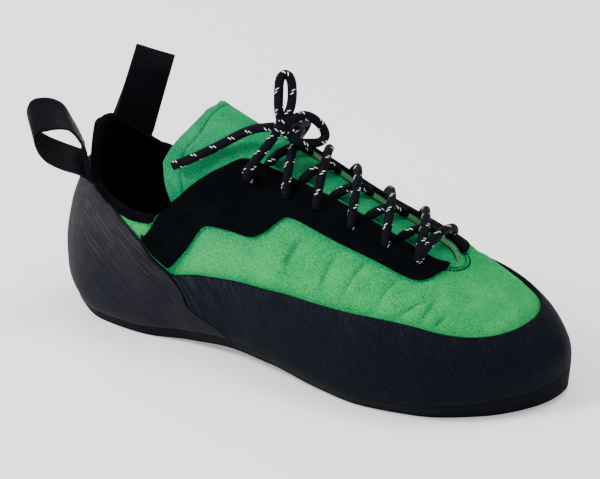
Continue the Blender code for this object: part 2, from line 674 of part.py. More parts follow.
def build_pull_loops(shoe):
    webbing = new_material("webbing", (0.012, 0.013, 0.02), 0.5)
    build_pull_loop("pull_loop_lateral", LATERAL, LATERAL_LOOP, shoe, webbing)
    build_pull_loop("pull_loop_medial", MEDIAL, MEDIAL_LOOP, shoe, webbing)


def main():
    for old in list(bpy.data.objects):
        bpy.data.objects.remove(old, do_unlink=True)
    shoe = bpy.data.collections.new("climbing_shoe")
    cutters = bpy.data.collections.new("cutters")
    for collection in (shoe, cutters):
        bpy.context.scene.collection.children.link(collection)
    pieces = {"upper": build_upper(shoe)}
    build_insole(shoe)
    build_tongue(shoe)
    build_outsole(shoe)
    build_rands(shoe)
    build_collar_band(shoe)
    pieces.update(build_eyestays(shoe))
    cut_eyelets(pieces, cutters)
    build_lace(shoe, cutters)
    build_pull_loops(shoe)


main()
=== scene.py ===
"""Looks of the climbing shoe: suede upper, rubber rands, webbing loops and a tied lace.

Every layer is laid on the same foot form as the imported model, at its own distance from it, so
each piece stays where its CAD node is. Lengths are in metres, +X to the toe, +Y to the inner side
and +Z up.
"""
import logging
import math
from dataclasses import dataclass, field
from enum import Enum
from typing import Callable, NamedTuple, Optional, Sequence

import bmesh
import bpy
import numpy as np
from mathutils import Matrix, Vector


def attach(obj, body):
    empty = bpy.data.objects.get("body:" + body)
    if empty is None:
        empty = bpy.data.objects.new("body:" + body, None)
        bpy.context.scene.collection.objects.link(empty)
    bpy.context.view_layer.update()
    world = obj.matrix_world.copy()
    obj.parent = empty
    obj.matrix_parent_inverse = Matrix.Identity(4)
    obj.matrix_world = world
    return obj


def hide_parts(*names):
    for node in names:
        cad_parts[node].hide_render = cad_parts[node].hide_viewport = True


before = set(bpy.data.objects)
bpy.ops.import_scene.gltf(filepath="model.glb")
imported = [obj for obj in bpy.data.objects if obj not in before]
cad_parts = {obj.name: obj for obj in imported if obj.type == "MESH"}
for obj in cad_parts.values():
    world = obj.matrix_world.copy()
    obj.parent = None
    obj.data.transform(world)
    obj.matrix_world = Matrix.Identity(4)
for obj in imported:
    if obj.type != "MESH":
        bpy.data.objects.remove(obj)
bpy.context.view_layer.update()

log = logging.getLogger("climbing_shoe")
Array = np.ndarray
Colour = tuple[float, float, float]
BODY = "root"


class Side(Enum):
    """The two sides of the shoe."""

    LATERAL = "lateral"
    MEDIAL = "medial"


class Section(NamedTuple):
    """One cross-section of the foot form, in shares of the form's own sizes."""

    along: float
    ball: float
    axis: float
    lateral: float
    medial: float
    bottom: float
    widest: float
    top: float
    power_top: float
    power_low: float


SECTIONS = (
    Section(0.00, 0.0, 0.000, 0.000, 0.000, 0.060, 0.320, 1.08, 2.2, 3.0),
    Section(0.03, 0.0, 0.000, 0.277, 0.277, 0.028, 0.305, 1.13, 2.3, 3.6),
    Section(0.10, 0.0, 0.000, 0.462, 0.446, 0.000, 0.270, 1.22, 2.4, 4.4),
    Section(0.20, 0.0, 0.000, 0.508, 0.492, 0.000, 0.260, 1.27, 2.5, 5.0),
    Section(0.30, 0.2, 0.000, 0.441, 0.427, 0.023, 0.250, 1.18, 2.4, 5.0),
    Section(0.40, 0.4, 0.000, 0.450, 0.410, 0.055, 0.250, 1.08, 2.1, 5.0),
    Section(0.50, 0.7, 0.000, 0.479, 0.419, 0.058, 0.225, 0.97, 1.9, 5.5),
    Section(0.60, 0.9, 0.000, 0.512, 0.450, 0.026, 0.190, 0.84, 1.8, 5.8),
    Section(0.70, 1.0, 0.005, 0.530, 0.470, 0.000, 0.168, 0.71, 1.9, 6.0),
    Section(0.80, 1.0, 0.020, 0.508, 0.459, 0.000, 0.156, 0.56, 2.0, 6.0),
    Section(0.90, 1.0, 0.047, 0.393, 0.361, 0.003, 0.142, 0.40, 2.0, 5.5),
    Section(0.97, 1.0, 0.062, 0.219, 0.193, 0.014, 0.124, 0.255, 2.0, 4.0),
    Section(1.00, 1.0, 0.064, 0.000, 0.000, 0.032, 0.120, 0.165, 2.0, 3.0),
)
HEEL_LEAN = (
    (-0.05, 0.030), (0.06, 0.007), (0.15, -0.001), (0.30, -0.002), (0.53, 0.012), (0.76, 0.041),
    (1.00, 0.054), (1.45, 0.062),
)

# Edges drawn on the form: share of the length, and rise in degrees round the section
LATERAL_RIM = (
    (0.000, 61), (0.015, 56), (0.030, 46), (0.052, 35), (0.085, 28), (0.130, 23), (0.178, 20),
    (0.223, 18.5), (0.272, 27.5), (0.330, 43), (0.360, 52), (0.400, 64), (0.450, 68),
    (0.503, 70.5), (0.603, 75), (0.700, 77.5), (0.755, 79.5), (0.780, 84), (0.790, 90),
)
MEDIAL_RIM = (
    (0.000, 61), (0.006, 58), (0.018, 49.5), (0.034, 41.5), (0.056, 34), (0.085, 27.5),
    (0.130, 22), (0.178, 19.5), (0.223, 19), (0.272, 27), (0.330, 43), (0.360, 53), (0.400, 66),
    (0.450, 77), (0.503, 80), (0.603, 80), (0.700, 77.5), (0.755, 78.5), (0.780, 84), (0.790, 90),
)
RAND_TOP = (
    (0.200, 1.5), (0.278, 3.8), (0.348, 7.5), (0.415, 11.5), (0.484, 16.4), (0.572, 23.0),
    (0.676, 28.5), (0.787, 34.5), (0.841, 37), (0.868, 39.5), (0.888, 42.8), (0.905, 48),
    (0.919, 55.5), (0.930, 65.5), (0.936, 76), (0.938, 84), (0.9385, 90),
)
HEEL_RAND_TOP = (
    (0.000, 32), (0.040, 28.5), (0.085, 25), (0.110, 22.5), (0.132, 20), (0.170, 15.2),
    (0.208, 11), (0.234, 7), (0.278, 3.4), (0.318, -1.5), (0.366, -10), (0.397, -21), (0.415, -50),
)
EYESTAY_FOOT = (
    (0.212, 11), (0.262, 5.2), (0.306, 12.5), (0.348, 25), (0.397, 29), (0.446, 32.2), (0.472, 38),
    (0.509, 50), (0.572, 52.7), (0.622, 54.3), (0.688, 56.7), (0.733, 57.8), (0.760, 60.5),
    (0.775, 67), (0.781, 73),
)
TONGUE_FOOT = (
    (0.234, 39), (0.243, 31), (0.272, 24), (0.300, 25), (0.330, 31), (0.400, 47), (0.500, 54),
    (0.600, 58), (0.700, 62), (0.812, 68),
)
TONGUE_TOP = (
    (0.234, 39), (0.245, 46), (0.258, 53.5), (0.272, 61.5), (0.283, 72), (0.289, 84), (0.290, 90),
)

# The tongue's hem: rise, and the share of the length there
TONGUE_HEM = (
    (24.0, 0.302), (32.5, 0.280), (39.5, 0.272), (49.0, 0.275), (54.0, 0.284), (66.5, 0.298),
    (90.0, 0.303),
)

# Where the open throat ends at the front, as a share of the length
THROAT_FRONT = 0.79
# Rise at the ridge, and the rounding of a suede piece's cut edges
RIDGE = 90.0
SUEDE_ROUND = 0.0004
# Degrees between faces up to which a thin round tube is shaded smooth
TUBE_SHADE = 80.0


class Eyelet(NamedTuple):
    """A pair of eyelets: share of the length, and the rise of each side's hole."""

    along: float
    lateral: float
    medial: float


EYELETS = (
    Eyelet(0.421, 55, 62), Eyelet(0.491, 58, 69.5), Eyelet(0.547, 62, 70.5),
    Eyelet(0.616, 64.5, 70.5), Eyelet(0.682, 66.5, 68), Eyelet(0.741, 69.5, 67),
)


def smooth_curve(knots: Sequence[float], values: Sequence[float], at: Array) -> Array:
    """Read a monotone cubic curve through some values.

    Args:
        knots: Places of the values, rising.
        values: The values there.
        at: Where to read the curve.

    Returns:
        The curve's values.
    """
    knots, values = np.asarray(knots, float), np.asarray(values, float)
    at = np.asarray(at, float)
    steps = np.diff(knots)
    slopes = np.diff(values) / steps
    tangents = np.empty_like(values)
    tangents[0], tangents[-1] = slopes[0], slopes[-1]
    for i in range(1, len(knots) - 1):
        before, after = slopes[i - 1], slopes[i]
        if before * after <= 0:
            tangents[i] = 0.0
        else:
            near, far = 2 * steps[i] + steps[i - 1], steps[i] + 2 * steps[i - 1]
            tangents[i] = (near + far) / (near / before + far / after)
    return hermite(knots, values, tangents, at)


def hermite(knots: Array, values: Array, tangents: Array, at: Array) -> Array:
    """Read a cubic curve that has a given slope at each of its knots.

    Args:
        knots: Places of the values, rising.
        values: The values there.
        tangents: The slopes there.
        at: Where to read the curve.

    Returns:
        The curve's values.
    """
    i = np.clip(np.searchsorted(knots, at) - 1, 0, len(knots) - 2)
    step = knots[i + 1] - knots[i]
    t = (at - knots[i]) / step
    return (
        (1 + 2 * t) * (1 - t) ** 2 * values[i]
        + t * (1 - t) ** 2 * step * tangents[i]
        + t * t * (3 - 2 * t) * values[i + 1]
        + t * t * (t - 1) * step * tangents[i + 1]
    )


def edge_line(table: Sequence[tuple[float, float]]) -> Callable[[Array], Array]:
    """Make an edge's table into a function of the share of the length.

    Args:
        table: Rows of a share of the length and a rise in degrees.

    Returns:
        The function.
    """
    alongs, rises = zip(*table)
    return lambda along: smooth_curve(alongs, rises, np.clip(along, alongs[0], alongs[-1]))


def lengths_along(path: Array) -> Array:
    """Give the length of a path up to each of its points."""
    steps = np.linalg.norm(np.diff(path, axis=0), axis=1)
    return np.concatenate([[0.0], np.cumsum(steps)])


def even_points(route: Sequence[Sequence[float]], count: int) -> Array:
    """Put even points on a smooth curve through a route's own points.

    Args:
        route: The route's points.
        count: How many points to return.

    Returns:
        The even points.
    """
    route = np.asarray(route, float)
    chord = lengths_along(route)
    fine = np.linspace(0, chord[-1], 600)
    curve = np.stack(
        [hermite(chord, route[:, k], np.gradient(route[:, k], chord), fine) for k in range(3)], -1
    )
    length = lengths_along(curve)
    even = np.linspace(0, length[-1], count)
    return np.stack([np.interp(even, length, curve[:, k]) for k in range(3)], -1)


@dataclass(frozen=True)
class FootForm:
    """The last that all layers of the shoe are laid on."""

    length: float = 0.245
    ball_width: float = 0.0915
    heel_width: float = 0.065
    instep: float = 0.0865
    heel_centre: float = 0.040
    floor: float = 0.0045
    lean_reach: float = 0.35
    toe_tuck: float = 0.0042
    toe_tuck_start: float = 0.70

    def station(self, along: Array) -> Array:
        """Give the end-rounding station, from 0 to 1, of a share of the length."""
        return np.arccos(1 - 2 * np.clip(along, 0.0, 1.0)) / math.pi

    def along(self, at: Array) -> Array:
        """Give the share of the length at a station."""
        return (1 - np.cos(math.pi * at)) / 2

    def column(self, name: str, at: Array) -> Array:
        """Read one column of the sections at a station."""
        stations = self.station(np.array([row.along for row in SECTIONS]))
        return smooth_curve(stations, [getattr(row, name) for row in SECTIONS], at)

    def point(self, at: Array, angle: Array) -> Array:
        """Give points of the form.

        Args:
            at: Station, 0 at the heel and 1 at the toe.
            angle: Degrees round the section: -90 sole, 0 lateral, 90 ridge, 180 medial.

        Returns:
            The points.
        """
        angle = np.radians(np.asarray(angle, float))
        at, angle = np.broadcast_arrays(np.asarray(at, float), angle)
        width = self.heel_width + (self.ball_width - self.heel_width) * self.column("ball", at)
        bottom, widest, top = (
            self.column(name, at) * self.instep for name in ("bottom", "widest", "top")
        )
        cosine, sine = np.cos(angle), np.sin(angle)
        half = np.where(cosine > 0, -self.column("lateral", at), self.column("medial", at)) * width
        power = np.where(sine > 0, self.column("power_top", at), self.column("power_low", at))
        reach = np.where(sine > 0, top - widest, widest - bottom)
        y = self.column("axis", at) * self.ball_width + half * np.abs(cosine) ** (2 / power)
        height = widest + reach * np.sign(sine) * np.abs(sine) ** (2 / power)
        x = self.length * (1 - np.cos(math.pi * at)) / 2
        rises, shifts = zip(*HEEL_LEAN)
        lean = smooth_curve(rises, shifts, np.clip(height / self.instep, rises[0], rises[-1]))
        share = x / self.length
        x = x + self.length * lean * np.clip(1 - share / self.lean_reach, 0, 1) ** 1.5
        x = x - self.toe_tuck * np.clip(
            (share - self.toe_tuck_start) / (1 - self.toe_tuck_start), 0, 1
        ) ** 2
        return np.stack([x - self.heel_centre, y, height + self.floor], -1)

    def normal(self, at: Array, angle: Array) -> Array:
        """Give the outward unit normals at some points of the form, as point() takes them."""
        end, step, turn = 0.012, 1e-3, 0.05
        inner = np.clip(at, end, 1 - end)

        def one_side(degrees: Array) -> Array:
            """Normals from two small steps, lengthwise and round the section."""
            along = self.point(inner + step, degrees) - self.point(inner - step, degrees)
            across = self.point(inner, degrees + turn) - self.point(inner, degrees - turn)
            normal = np.cross(along, across)
            return normal / np.linalg.norm(normal, axis=-1, keepdims=True)

        normal = one_side(np.asarray(angle, float))
        other = one_side(180.0 - np.asarray(angle, float))
        at_end = (np.asarray(at) <= 1e-6) | (np.asarray(at) >= 1 - 1e-6)
        normal = np.where(at_end[..., None], normal + other, normal)
        return normal / np.linalg.norm(normal, axis=-1, keepdims=True)

    def layer(self, along: Array, rise: Array, side: Side, offset: Array) -> Array:
        """Give points at a distance outside the form.

        Args:
            along: Shares of the length.
            rise: Degrees round the section, up to 90 at the ridge.
            side: Side of the shoe.
            offset: Distance outside the form.

        Returns:
            The points.
        """
        rise = np.asarray(rise, float)
        angle = rise if side is Side.LATERAL else 180.0 - rise
        at, angle = np.broadcast_arrays(self.station(np.asarray(along, float)), angle)
        return self.point(at, angle) + self.normal(at, angle) * np.asarray(offset)[..., None]

    def rise_above_bottom(self, along: Array, height: float) -> Array:
        """Give the rise of a line at a height above the bottom of the form."""
        at = self.station(along)
        bottom, widest = self.column("bottom", at), self.column("widest", at)
        share = 1 - height / ((widest - bottom) * self.instep)
        return -np.degrees(np.arcsin(share ** (self.column("power_low", at) / 2)))


FORM = FootForm()
RIM = {Side.LATERAL: edge_line(LATERAL_RIM), Side.MEDIAL: edge_line(MEDIAL_RIM)}
heel_rand_top = edge_line(HEEL_RAND_TOP)
rand_top, eyestay_foot = edge_line(RAND_TOP), edge_line(EYESTAY_FOOT)
tongue_foot, tongue_top = edge_line(TONGUE_FOOT), edge_line(TONGUE_TOP)
BOTH = (Side.LATERAL, Side.MEDIAL)


def collar_rim(along: Array, side: Side) -> Array:
    """Give the rim, a little lower round the collar to leave room for the binding's roll."""
    back = 3.0 * np.clip(1 - along / 0.035, 0.0, 1.0)
    return RIM[side](along) - back - 1.9 * np.clip((0.235 - along) / 0.05, 0.0, 1.0)


@dataclass(frozen=True)
class Layers:
    """Thicknesses of the shoe's layers, and how far each lies outside the foot form."""

    upper: float = 0.0020
    rand: float = 0.0020
    heel_rand: float = 0.0023
    overlay: float = 0.0012
    insole: float = 0.0020
    tongue: float = 0.0018
    gap: float = 0.0003
    tongue_gap: float = 0.0006
    sole_cup: float = 0.0046

    @property
    def over_upper(self) -> float:
        """Where what lies on the upper starts."""
        return self.upper + self.gap


LAYERS = Layers()


def sole_rise(along: Array) -> Array:
    """Give the rise of the sole's cupped edge."""
    return FORM.rise_above_bottom(along, LAYERS.sole_cup)


def rand_foot(along: Array) -> Array:
    """Give the rise of the rands' lower edge, just above the sole."""
    return FORM.rise_above_bottom(along, LAYERS.sole_cup + LAYERS.gap / 3)


# Node helpers and finishes


class Nodes:
    """A small writer of one material's nodes."""

    def __init__(self, name: str) -> None:
        """Start a material with only its shader and output."""
        self.material = bpy.data.materials.new(name)
        self.material.use_nodes = True
        self.tree = self.material.node_tree
        self.shader = self.tree.nodes["Principled BSDF"]

    def add(self, kind: str, inputs: Optional[dict] = None, **settings: object) -> bpy.types.Node:
        """Add a node.

        Args:
            kind: Blender's name of the node type, without its ShaderNode start.
            inputs: Value or socket for each named or numbered input.
            **settings: Properties of the node.

        Returns:
            The node.
        """
        node = self.tree.nodes.new("ShaderNode" + kind)
        for key, value in settings.items():
            setattr(node, key, value)
        for key, value in (inputs or {}).items():
            self.feed(node.inputs[key], value)
        return node

    def feed(self, socket: bpy.types.NodeSocket, value: object) -> None:
        """Link a socket to another, or set its value."""
        if isinstance(value, bpy.types.NodeSocket):
            self.tree.links.new(value, socket)
        else:
            socket.default_value = value

    def math(self, operation: str, *values: object) -> bpy.types.NodeSocket:
        """Add a math node and return its result."""
        node = self.add("Math", dict(enumerate(values)), operation=operation)
        return node.outputs[0]

    def noise(self, vector: object, scale: float, detail: float = 3.0, rough: float = 0.55
              ) -> bpy.types.NodeSocket:
        """Add a noise texture and return its grey value."""
        inputs = {"Vector": vector, "Scale": scale, "Detail": detail, "Roughness": rough}
        return self.add("TexNoise", inputs).outputs["Fac"]

    def ramp(self, value: object, low: float, high: float) -> bpy.types.NodeSocket:
        """Stretch a grey value between two limits to the range 0 to 1."""
        inputs = {"Value": value, "From Min": low, "From Max": high}
        return self.add("MapRange", inputs, interpolation_type="SMOOTHSTEP").outputs[0]

    def blend(self, share: object, first: object, second: object) -> bpy.types.NodeSocket:
        """Mix two colours by a share."""
        node = self.add("Mix", data_type="RGBA")
        for socket, value in zip(
            (node.inputs["Factor"], node.inputs[6], node.inputs[7]), (share, first, second)
        ):
            if isinstance(value, tuple) and len(value) == 3:
                value = (*value, 1.0)
            self.feed(socket, value)
        return node.outputs[2]

    def tint(self, tone: object, colour: Colour, share: object, amount: object
             ) -> bpy.types.NodeSocket:
        """Lay a colour over a tone, by a share of some amount."""
        return self.blend(self.math("MULTIPLY", share, amount), tone, colour)

    def total(self, *terms: tuple[object, float]) -> bpy.types.NodeSocket:
        """Add up values, each times its weight."""
        weighted = [v if weight == 1 else self.math("MULTIPLY", v, weight) for v, weight in terms]
        result = weighted[0]
        for value in weighted[1:]:
            result = self.math("ADD", result, value)
        return result

    def wave(self, value: object, rate: float) -> bpy.types.NodeSocket:
        """Give the sine of a value times a rate."""
        return self.math("SINE", self.math("MULTIPLY", value, rate))

    def axes(self, space: str) -> object:
        """Give the separate coordinates in a space of the piece."""
        return self.add("SeparateXYZ", {0: self.add("TexCoord").outputs[space]}).outputs

    def dress(self, inputs: dict) -> None:
        """Link or set some inputs of the shader."""
        for key, value in inputs.items():
            self.feed(self.shader.inputs[key], value)

    def bump(self, height: object, distance: float, strength: float = 1.0) -> None:
        """Give the shader a relief."""
        inputs = {"Height": height, "Distance": distance, "Strength": strength}
        self.feed(self.shader.inputs["Normal"], self.add("Bump", inputs).outputs[0])

    def place(self, scale: tuple = (1.0, 1.0, 1.0), turn: tuple = (0.0, 0.0, 0.0)) -> object:
        """Give object coordinates, turned and then stretched."""
        spot = self.add("TexCoord").outputs["Object"]
        turned = self.add("Mapping", {"Vector": spot, "Rotation": turn}).outputs[0]
        return self.add("Mapping", {"Vector": turned, "Scale": scale}).outputs[0]

    def attribute(self, name: str) -> bpy.types.NodeSocket:
        """Read a number that the mesh carries."""
        return self.add("Attribute", attribute_name=name).outputs["Fac"]


@dataclass(frozen=True)
class Nubuck:
    """Short-napped suede: blotched colour, grain of the nap, darker seams, an edge tint, and on
    the upper painted shade in the creases and painted light on the rear quarter.
    """

    name: str
    colour: Colour
    deep: Colour
    # pale: lighter blotches and nap, and the colour of the painted light
    pale: Colour
    # edge: a teal tint near the overlays, also painted shade in the upper's creases
    edge: Colour
    # seam: the dark colour of stitch lines, also painted shade in the upper's creases
    seam: Colour
    nap_height: float = 0.00022
    sheen: float = 0.08

    def material(self) -> bpy.types.Material:
        """Build the suede's material."""
        n = Nodes(self.name)
        spot = n.place()
        grain = n.noise(spot, 1900, 3, 0.7)
        fleck = n.noise(spot, 1500, 4, 0.75)
        blotch = n.ramp(n.noise(spot, 85, 4, 0.6), 0.40, 0.66)
        stroke = n.noise(n.place((240.0, 240.0, 900.0), (0.0, 0.5, 0.2)), 1.0, 3, 0.6)
        tone = n.tint(self.colour, self.pale, blotch, 0.35)
        # Painted light: paler where the light number is high, on the upper's rear quarter and just
        # ahead of its throat.
        tone = n.tint(tone, self.pale, n.attribute("light"), 0.45)
        # The edge number: a teal tint near the overlays, and on the upper painted shade in the
        # creases.
        tone = n.tint(tone, self.edge, n.attribute("edge"), 0.85)
        tone = n.tint(tone, self.deep, n.ramp(fleck, 0.54, 0.36), 0.75)
        tone = n.tint(tone, self.pale, n.ramp(grain, 0.50, 0.64), 0.80)
        # The seam number darkens stitch lines, and on the upper it also paints shade into the
        # creases.
        n.dress({
            "Base Color": n.blend(n.attribute("seam"), tone, self.seam),
            "Roughness": n.math("MULTIPLY_ADD", grain, 0.2, 0.75),
            "Sheen Weight": self.sheen, "Sheen Roughness": 0.5, "Sheen Tint": (*self.pale, 1.0),
            "Specular IOR Level": 0.02,
        })
        n.bump(n.total((grain, 0.6), (fleck, 0.7), (stroke, 0.3)), self.nap_height, 0.9)
        return n.material


@dataclass(frozen=True)
class Rubber:
    """Matte rubber: brushed streaks, brownish patches of painted light, dust, fine pits and
    painted shade towards the floor.
    """

    name: str
    colour: Colour
    painted_light_brown: Colour
    dust: Colour
    # foot: painted shade, the colour towards the floor
    foot: Colour = (0.0006, 0.0012, 0.0030)
    turn: tuple[float, float, float] = (0.0, 0.0, 0.0)
    roughness: float = 0.60
    gloss: float = 0.06
    streaks: float = 0.5
    streak_height: float = 0.00012

    def material(self) -> bpy.types.Material:
        """Build the rubber's material."""
        n = Nodes(self.name)
        spot = n.place()
        streak = n.noise(n.place((70.0, 300.0, 950.0), self.turn), 1.0, 2, 0.5)
        cloud = n.noise(spot, 38, 4, 0.6)
        pit = n.noise(spot, 1700, 3, 0.7)
        # Painted light: brownish patches that stand in for lit rubber.
        tone = n.tint(self.colour, self.painted_light_brown, n.ramp(cloud, 0.40, 0.75), 0.7)
        axes = n.add("SeparateXYZ", {0: spot}).outputs
        rear = n.math("MULTIPLY_ADD", n.ramp(axes[0], 0.095, 0.020), 0.8, 0.2)
        streaky = n.math("MULTIPLY", n.ramp(streak, 0.47, 0.64), self.streaks)
        tone = n.tint(tone, self.dust, streaky, rear)
        tone = n.tint(tone, self.dust, n.ramp(pit, 0.48, 0.64), 0.40)
        # Painted shade: the foot colour, darker on the heel rubber, towards the floor.
        tone = n.tint(tone, self.foot, n.ramp(axes[2], 0.062, 0.018), 0.70)
        speck = n.ramp(n.noise(spot, 1300, 0, 0.3), 0.82, 0.85)
        n.dress({
            "Base Color": n.tint(tone, (0.10, 0.10, 0.11), speck, 0.22),
            "Roughness": n.math("MULTIPLY_ADD", streak, 0.22, self.roughness),
            "Specular IOR Level": self.gloss,
        })
        n.bump(n.total((streak, 0.7), (pit, 0.5)), self.streak_height, 0.8)
        return n.material


@dataclass(frozen=True)
class Fabric:
    """Knitted or woven lining: a fine two-way weave on object coordinates."""

    name: str
    colour: Colour
    thread: Colour
    pitch: float = 0.0009
    roughness: float = 0.85

    def material(self) -> bpy.types.Material:
        """Build the fabric's material."""
        n = Nodes(self.name)
        axes = n.axes("Object")
        turn = 2 * math.pi / self.pitch
        ribs = n.wave(n.math("ADD", axes[0], axes[2]), turn)
        rows = n.wave(n.math("SUBTRACT", axes[0], axes[2]), turn)
        weave = n.total((n.math("MULTIPLY", ribs, rows), 1), (n.wave(axes[1], turn), 0.5))
        lint = n.noise(n.place(), 900, 3, 0.7)
        tone = n.blend(n.ramp(weave, -0.9, 1.2), self.colour, self.thread)
        n.dress({
            "Base Color": n.tint(tone, self.thread, n.ramp(lint, 0.55, 0.8), 0.4),
            "Roughness": self.roughness, "Specular IOR Level": 0.03,
        })
        n.bump(n.total((weave, 1), (lint, 1.5)), 0.00008, 0.8)
        return n.material


@dataclass(frozen=True)
class Webbing:
    """Flat woven tape: cross ribs and warp threads on the tape's own UV, in centimetres."""

    name: str
    colour: Colour
    shine: Colour
    ribs: int = 11
    warps: int = 14

    def material(self) -> bpy.types.Material:
        """Build the webbing's material."""
        n = Nodes(self.name)
        axes = n.axes("UV")
        rib = n.wave(axes[0], 2 * math.pi * self.ribs)
        weave = n.math("MULTIPLY", rib, n.wave(axes[1], 2 * math.pi * self.warps))
        cloud = n.noise(n.place(), 90, 3)
        tone = n.blend(n.ramp(weave, -0.6, 1.1), self.colour, self.shine)
        n.dress({
            "Base Color": n.tint(tone, self.shine, n.ramp(cloud, 0.45, 0.75), 0.5),
            "Roughness": n.math("MULTIPLY_ADD", weave, 0.06, 0.5),
            "Sheen Weight": 0.008, "Sheen Tint": (0.35, 0.4, 0.7, 1.0), "Specular IOR Level": 0.05,
        })
        n.bump(n.total((weave, 1), (rib, 0.6)), 0.00010, 0.8)
        return n.material


@dataclass(frozen=True)
class LaceBraid:
    """Round braid with two white tracer threads; its UV runs in centimetres and in turns."""

    name: str
    colour: Colour
    tracer: Colour
    tracer_pitch: float = 0.9
    tracer_half: float = 0.026
    tracer_share: float = 0.30
    beats: float = 3.2
    braid_pitch: float = 0.26

    def material(self) -> bpy.types.Material:
        """Build the braid's material."""
        n = Nodes(self.name)
        run, turn = n.axes("UV")[:2]
        strands = [n.total((run, 1 / self.braid_pitch), (turn, twist)) for twist in (3.0, -3.0)]
        braid = n.math("MULTIPLY", *(n.wave(strand, 2 * math.pi) for strand in strands))
        fleck: object = 0.0
        for start, beat in ((0.0, 0.0), (0.12, 0.5)):
            path = n.math("SUBTRACT", turn, n.math("MULTIPLY", run, 1 / self.tracer_pitch))
            near = n.math("FRACT", n.math("ADD", path, start + 0.5))
            off = n.math("ABSOLUTE", n.math("SUBTRACT", near, 0.5))
            beats = n.math("FRACT", n.math("MULTIPLY_ADD", run, self.beats, beat))
            near_path = n.math("LESS_THAN", off, self.tracer_half)
            on_beat = n.math("LESS_THAN", beats, self.tracer_share)
            on = n.math("MULTIPLY", near_path, on_beat)
            fleck = n.math("MAXIMUM", fleck, on)
        fuzz = n.noise(n.place(), 1400, 3, 0.7)
        tone = n.blend(n.ramp(fuzz, 0.45, 0.8), self.colour, (0.004, 0.005, 0.009))
        n.dress({
            "Base Color": n.blend(fleck, tone, self.tracer), "Roughness": 0.7,
            "Specular IOR Level": 0.06,
        })
        n.bump(n.math("MAXIMUM", n.total((braid, 0.8), (fuzz, 0.5)), fleck), 0.00022, 0.9)
        return n.material


@dataclass(frozen=True)
class Finishes:
    """Every finish of the shoe, each made once."""

    # Suede colours: colour, deep, pale (also painted light), edge (also painted crease shade),
    # seam (also painted crease shade).
    green: Nubuck = Nubuck(
        "green_nubuck", (0.005, 0.265, 0.066), (0.001, 0.100, 0.036), (0.052, 0.470, 0.130),
        (0.002, 0.190, 0.072), (0.001, 0.018, 0.010), 0.00030, 0.03,
    )
    tongue: Nubuck = Nubuck(
        "tongue_nubuck", (0.005, 0.215, 0.078), (0.001, 0.095, 0.042), (0.035, 0.350, 0.120),
        (0.001, 0.150, 0.080), (0.001, 0.030, 0.018), 0.00026, 0.03,
    )
    cut_green: Nubuck = Nubuck(
        "green_cut_edge", (0.20, 0.42, 0.19), (0.09, 0.27, 0.11), (0.35, 0.56, 0.31),
        (0.20, 0.42, 0.19), (0.003, 0.006, 0.006),
    )
    black: Nubuck = Nubuck(
        "black_suede", (0.0007, 0.0012, 0.0017), (0.0002, 0.0003, 0.0004),
        (0.0034, 0.0046, 0.0056), (0.0006, 0.0010, 0.0014), (0.001, 0.001, 0.001), 0.00030, 0.0,
    )
    # Rubber colours: colour, brownish painted light, dust, and the foot colour of painted shade
    # towards the floor.
    rand: Rubber = Rubber(
        "rand_rubber", (0.0004, 0.0018, 0.0052), (0.0036, 0.0032, 0.0050),
        (0.0240, 0.0250, 0.0360), (0.0006, 0.0020, 0.0050), (0.0, -0.95, 0.0), 0.60, 0.06, 0.9,
    )
    heel: Rubber = Rubber(
        "heel_rubber", (0.0050, 0.0052, 0.0094), (0.0260, 0.0185, 0.0235),
        (0.0330, 0.0290, 0.0360), (0.0022, 0.0034, 0.0085), (0.0, -0.70, 0.0), 0.60, 0.09, 0.75,
        0.00016,
    )
    sole: Rubber = Rubber(
        "sole_rubber", (0.0006, 0.0011, 0.0028), (0.0020, 0.0020, 0.0030),
        (0.0045, 0.0047, 0.0066), (0.0008, 0.0013, 0.0032), (0.0, 0.0, 0.0), 0.64,
    )
    binding: Fabric = Fabric(
        "collar_binding", (0.0004, 0.0005, 0.0010), (0.0025, 0.0028, 0.0045), 0.0008,
    )
    thread: Fabric = Fabric(
        "green_thread", (0.0006, 0.0100, 0.0060), (0.002, 0.030, 0.016), 0.0005,
    )
    lining: Fabric = Fabric("lining_knit", (0.0009, 0.0009, 0.0012), (0.003, 0.003, 0.004), 0.0012)
    insole: Fabric = Fabric("insole_felt", (0.004, 0.004, 0.005), (0.013, 0.013, 0.015), 0.0016)
    webbing: Webbing = Webbing("webbing_tape", (0.0003, 0.0004, 0.0010), (0.0010, 0.0013, 0.0040))
    lace: LaceBraid = LaceBraid("lace_braid", (0.0014, 0.0018, 0.0042), (0.80, 0.82, 0.84))

    def all(self) -> dict[str, bpy.types.Material]:
        """Build the materials, by their names in this class."""
        return {name: getattr(self, name).material() for name in self.__dataclass_fields__}


# Mesh helpers


def deselect() -> None:
    """Leave nothing selected."""
    bpy.ops.object.select_all(action="DESELECT")


def choose(*pieces: bpy.types.Object) -> None:
    """Select only these pieces and make the first one active."""
    deselect()
    for piece in pieces:
        piece.select_set(True)
    bpy.context.view_layer.objects.active = pieces[0]


def join(pieces: Sequence[bpy.types.Object]) -> bpy.types.Object:
    """Join pieces into the first one."""
    choose(*pieces)
    if len(pieces) > 1:
        bpy.ops.object.join()
    return bpy.context.view_layer.objects.active


def apply(piece: bpy.types.Object, kind: str, **settings: object) -> None:
    """Add a modifier to a piece, set it and apply it.

    Args:
        piece: The piece.
        kind: The modifier's type.
        **settings: Its properties.
    """
    choose(piece)
    modifier = piece.modifiers.new(kind.lower(), kind)
    for key, value in settings.items():
        setattr(modifier, key, value)
    bpy.ops.object.modifier_apply(modifier=modifier.name)


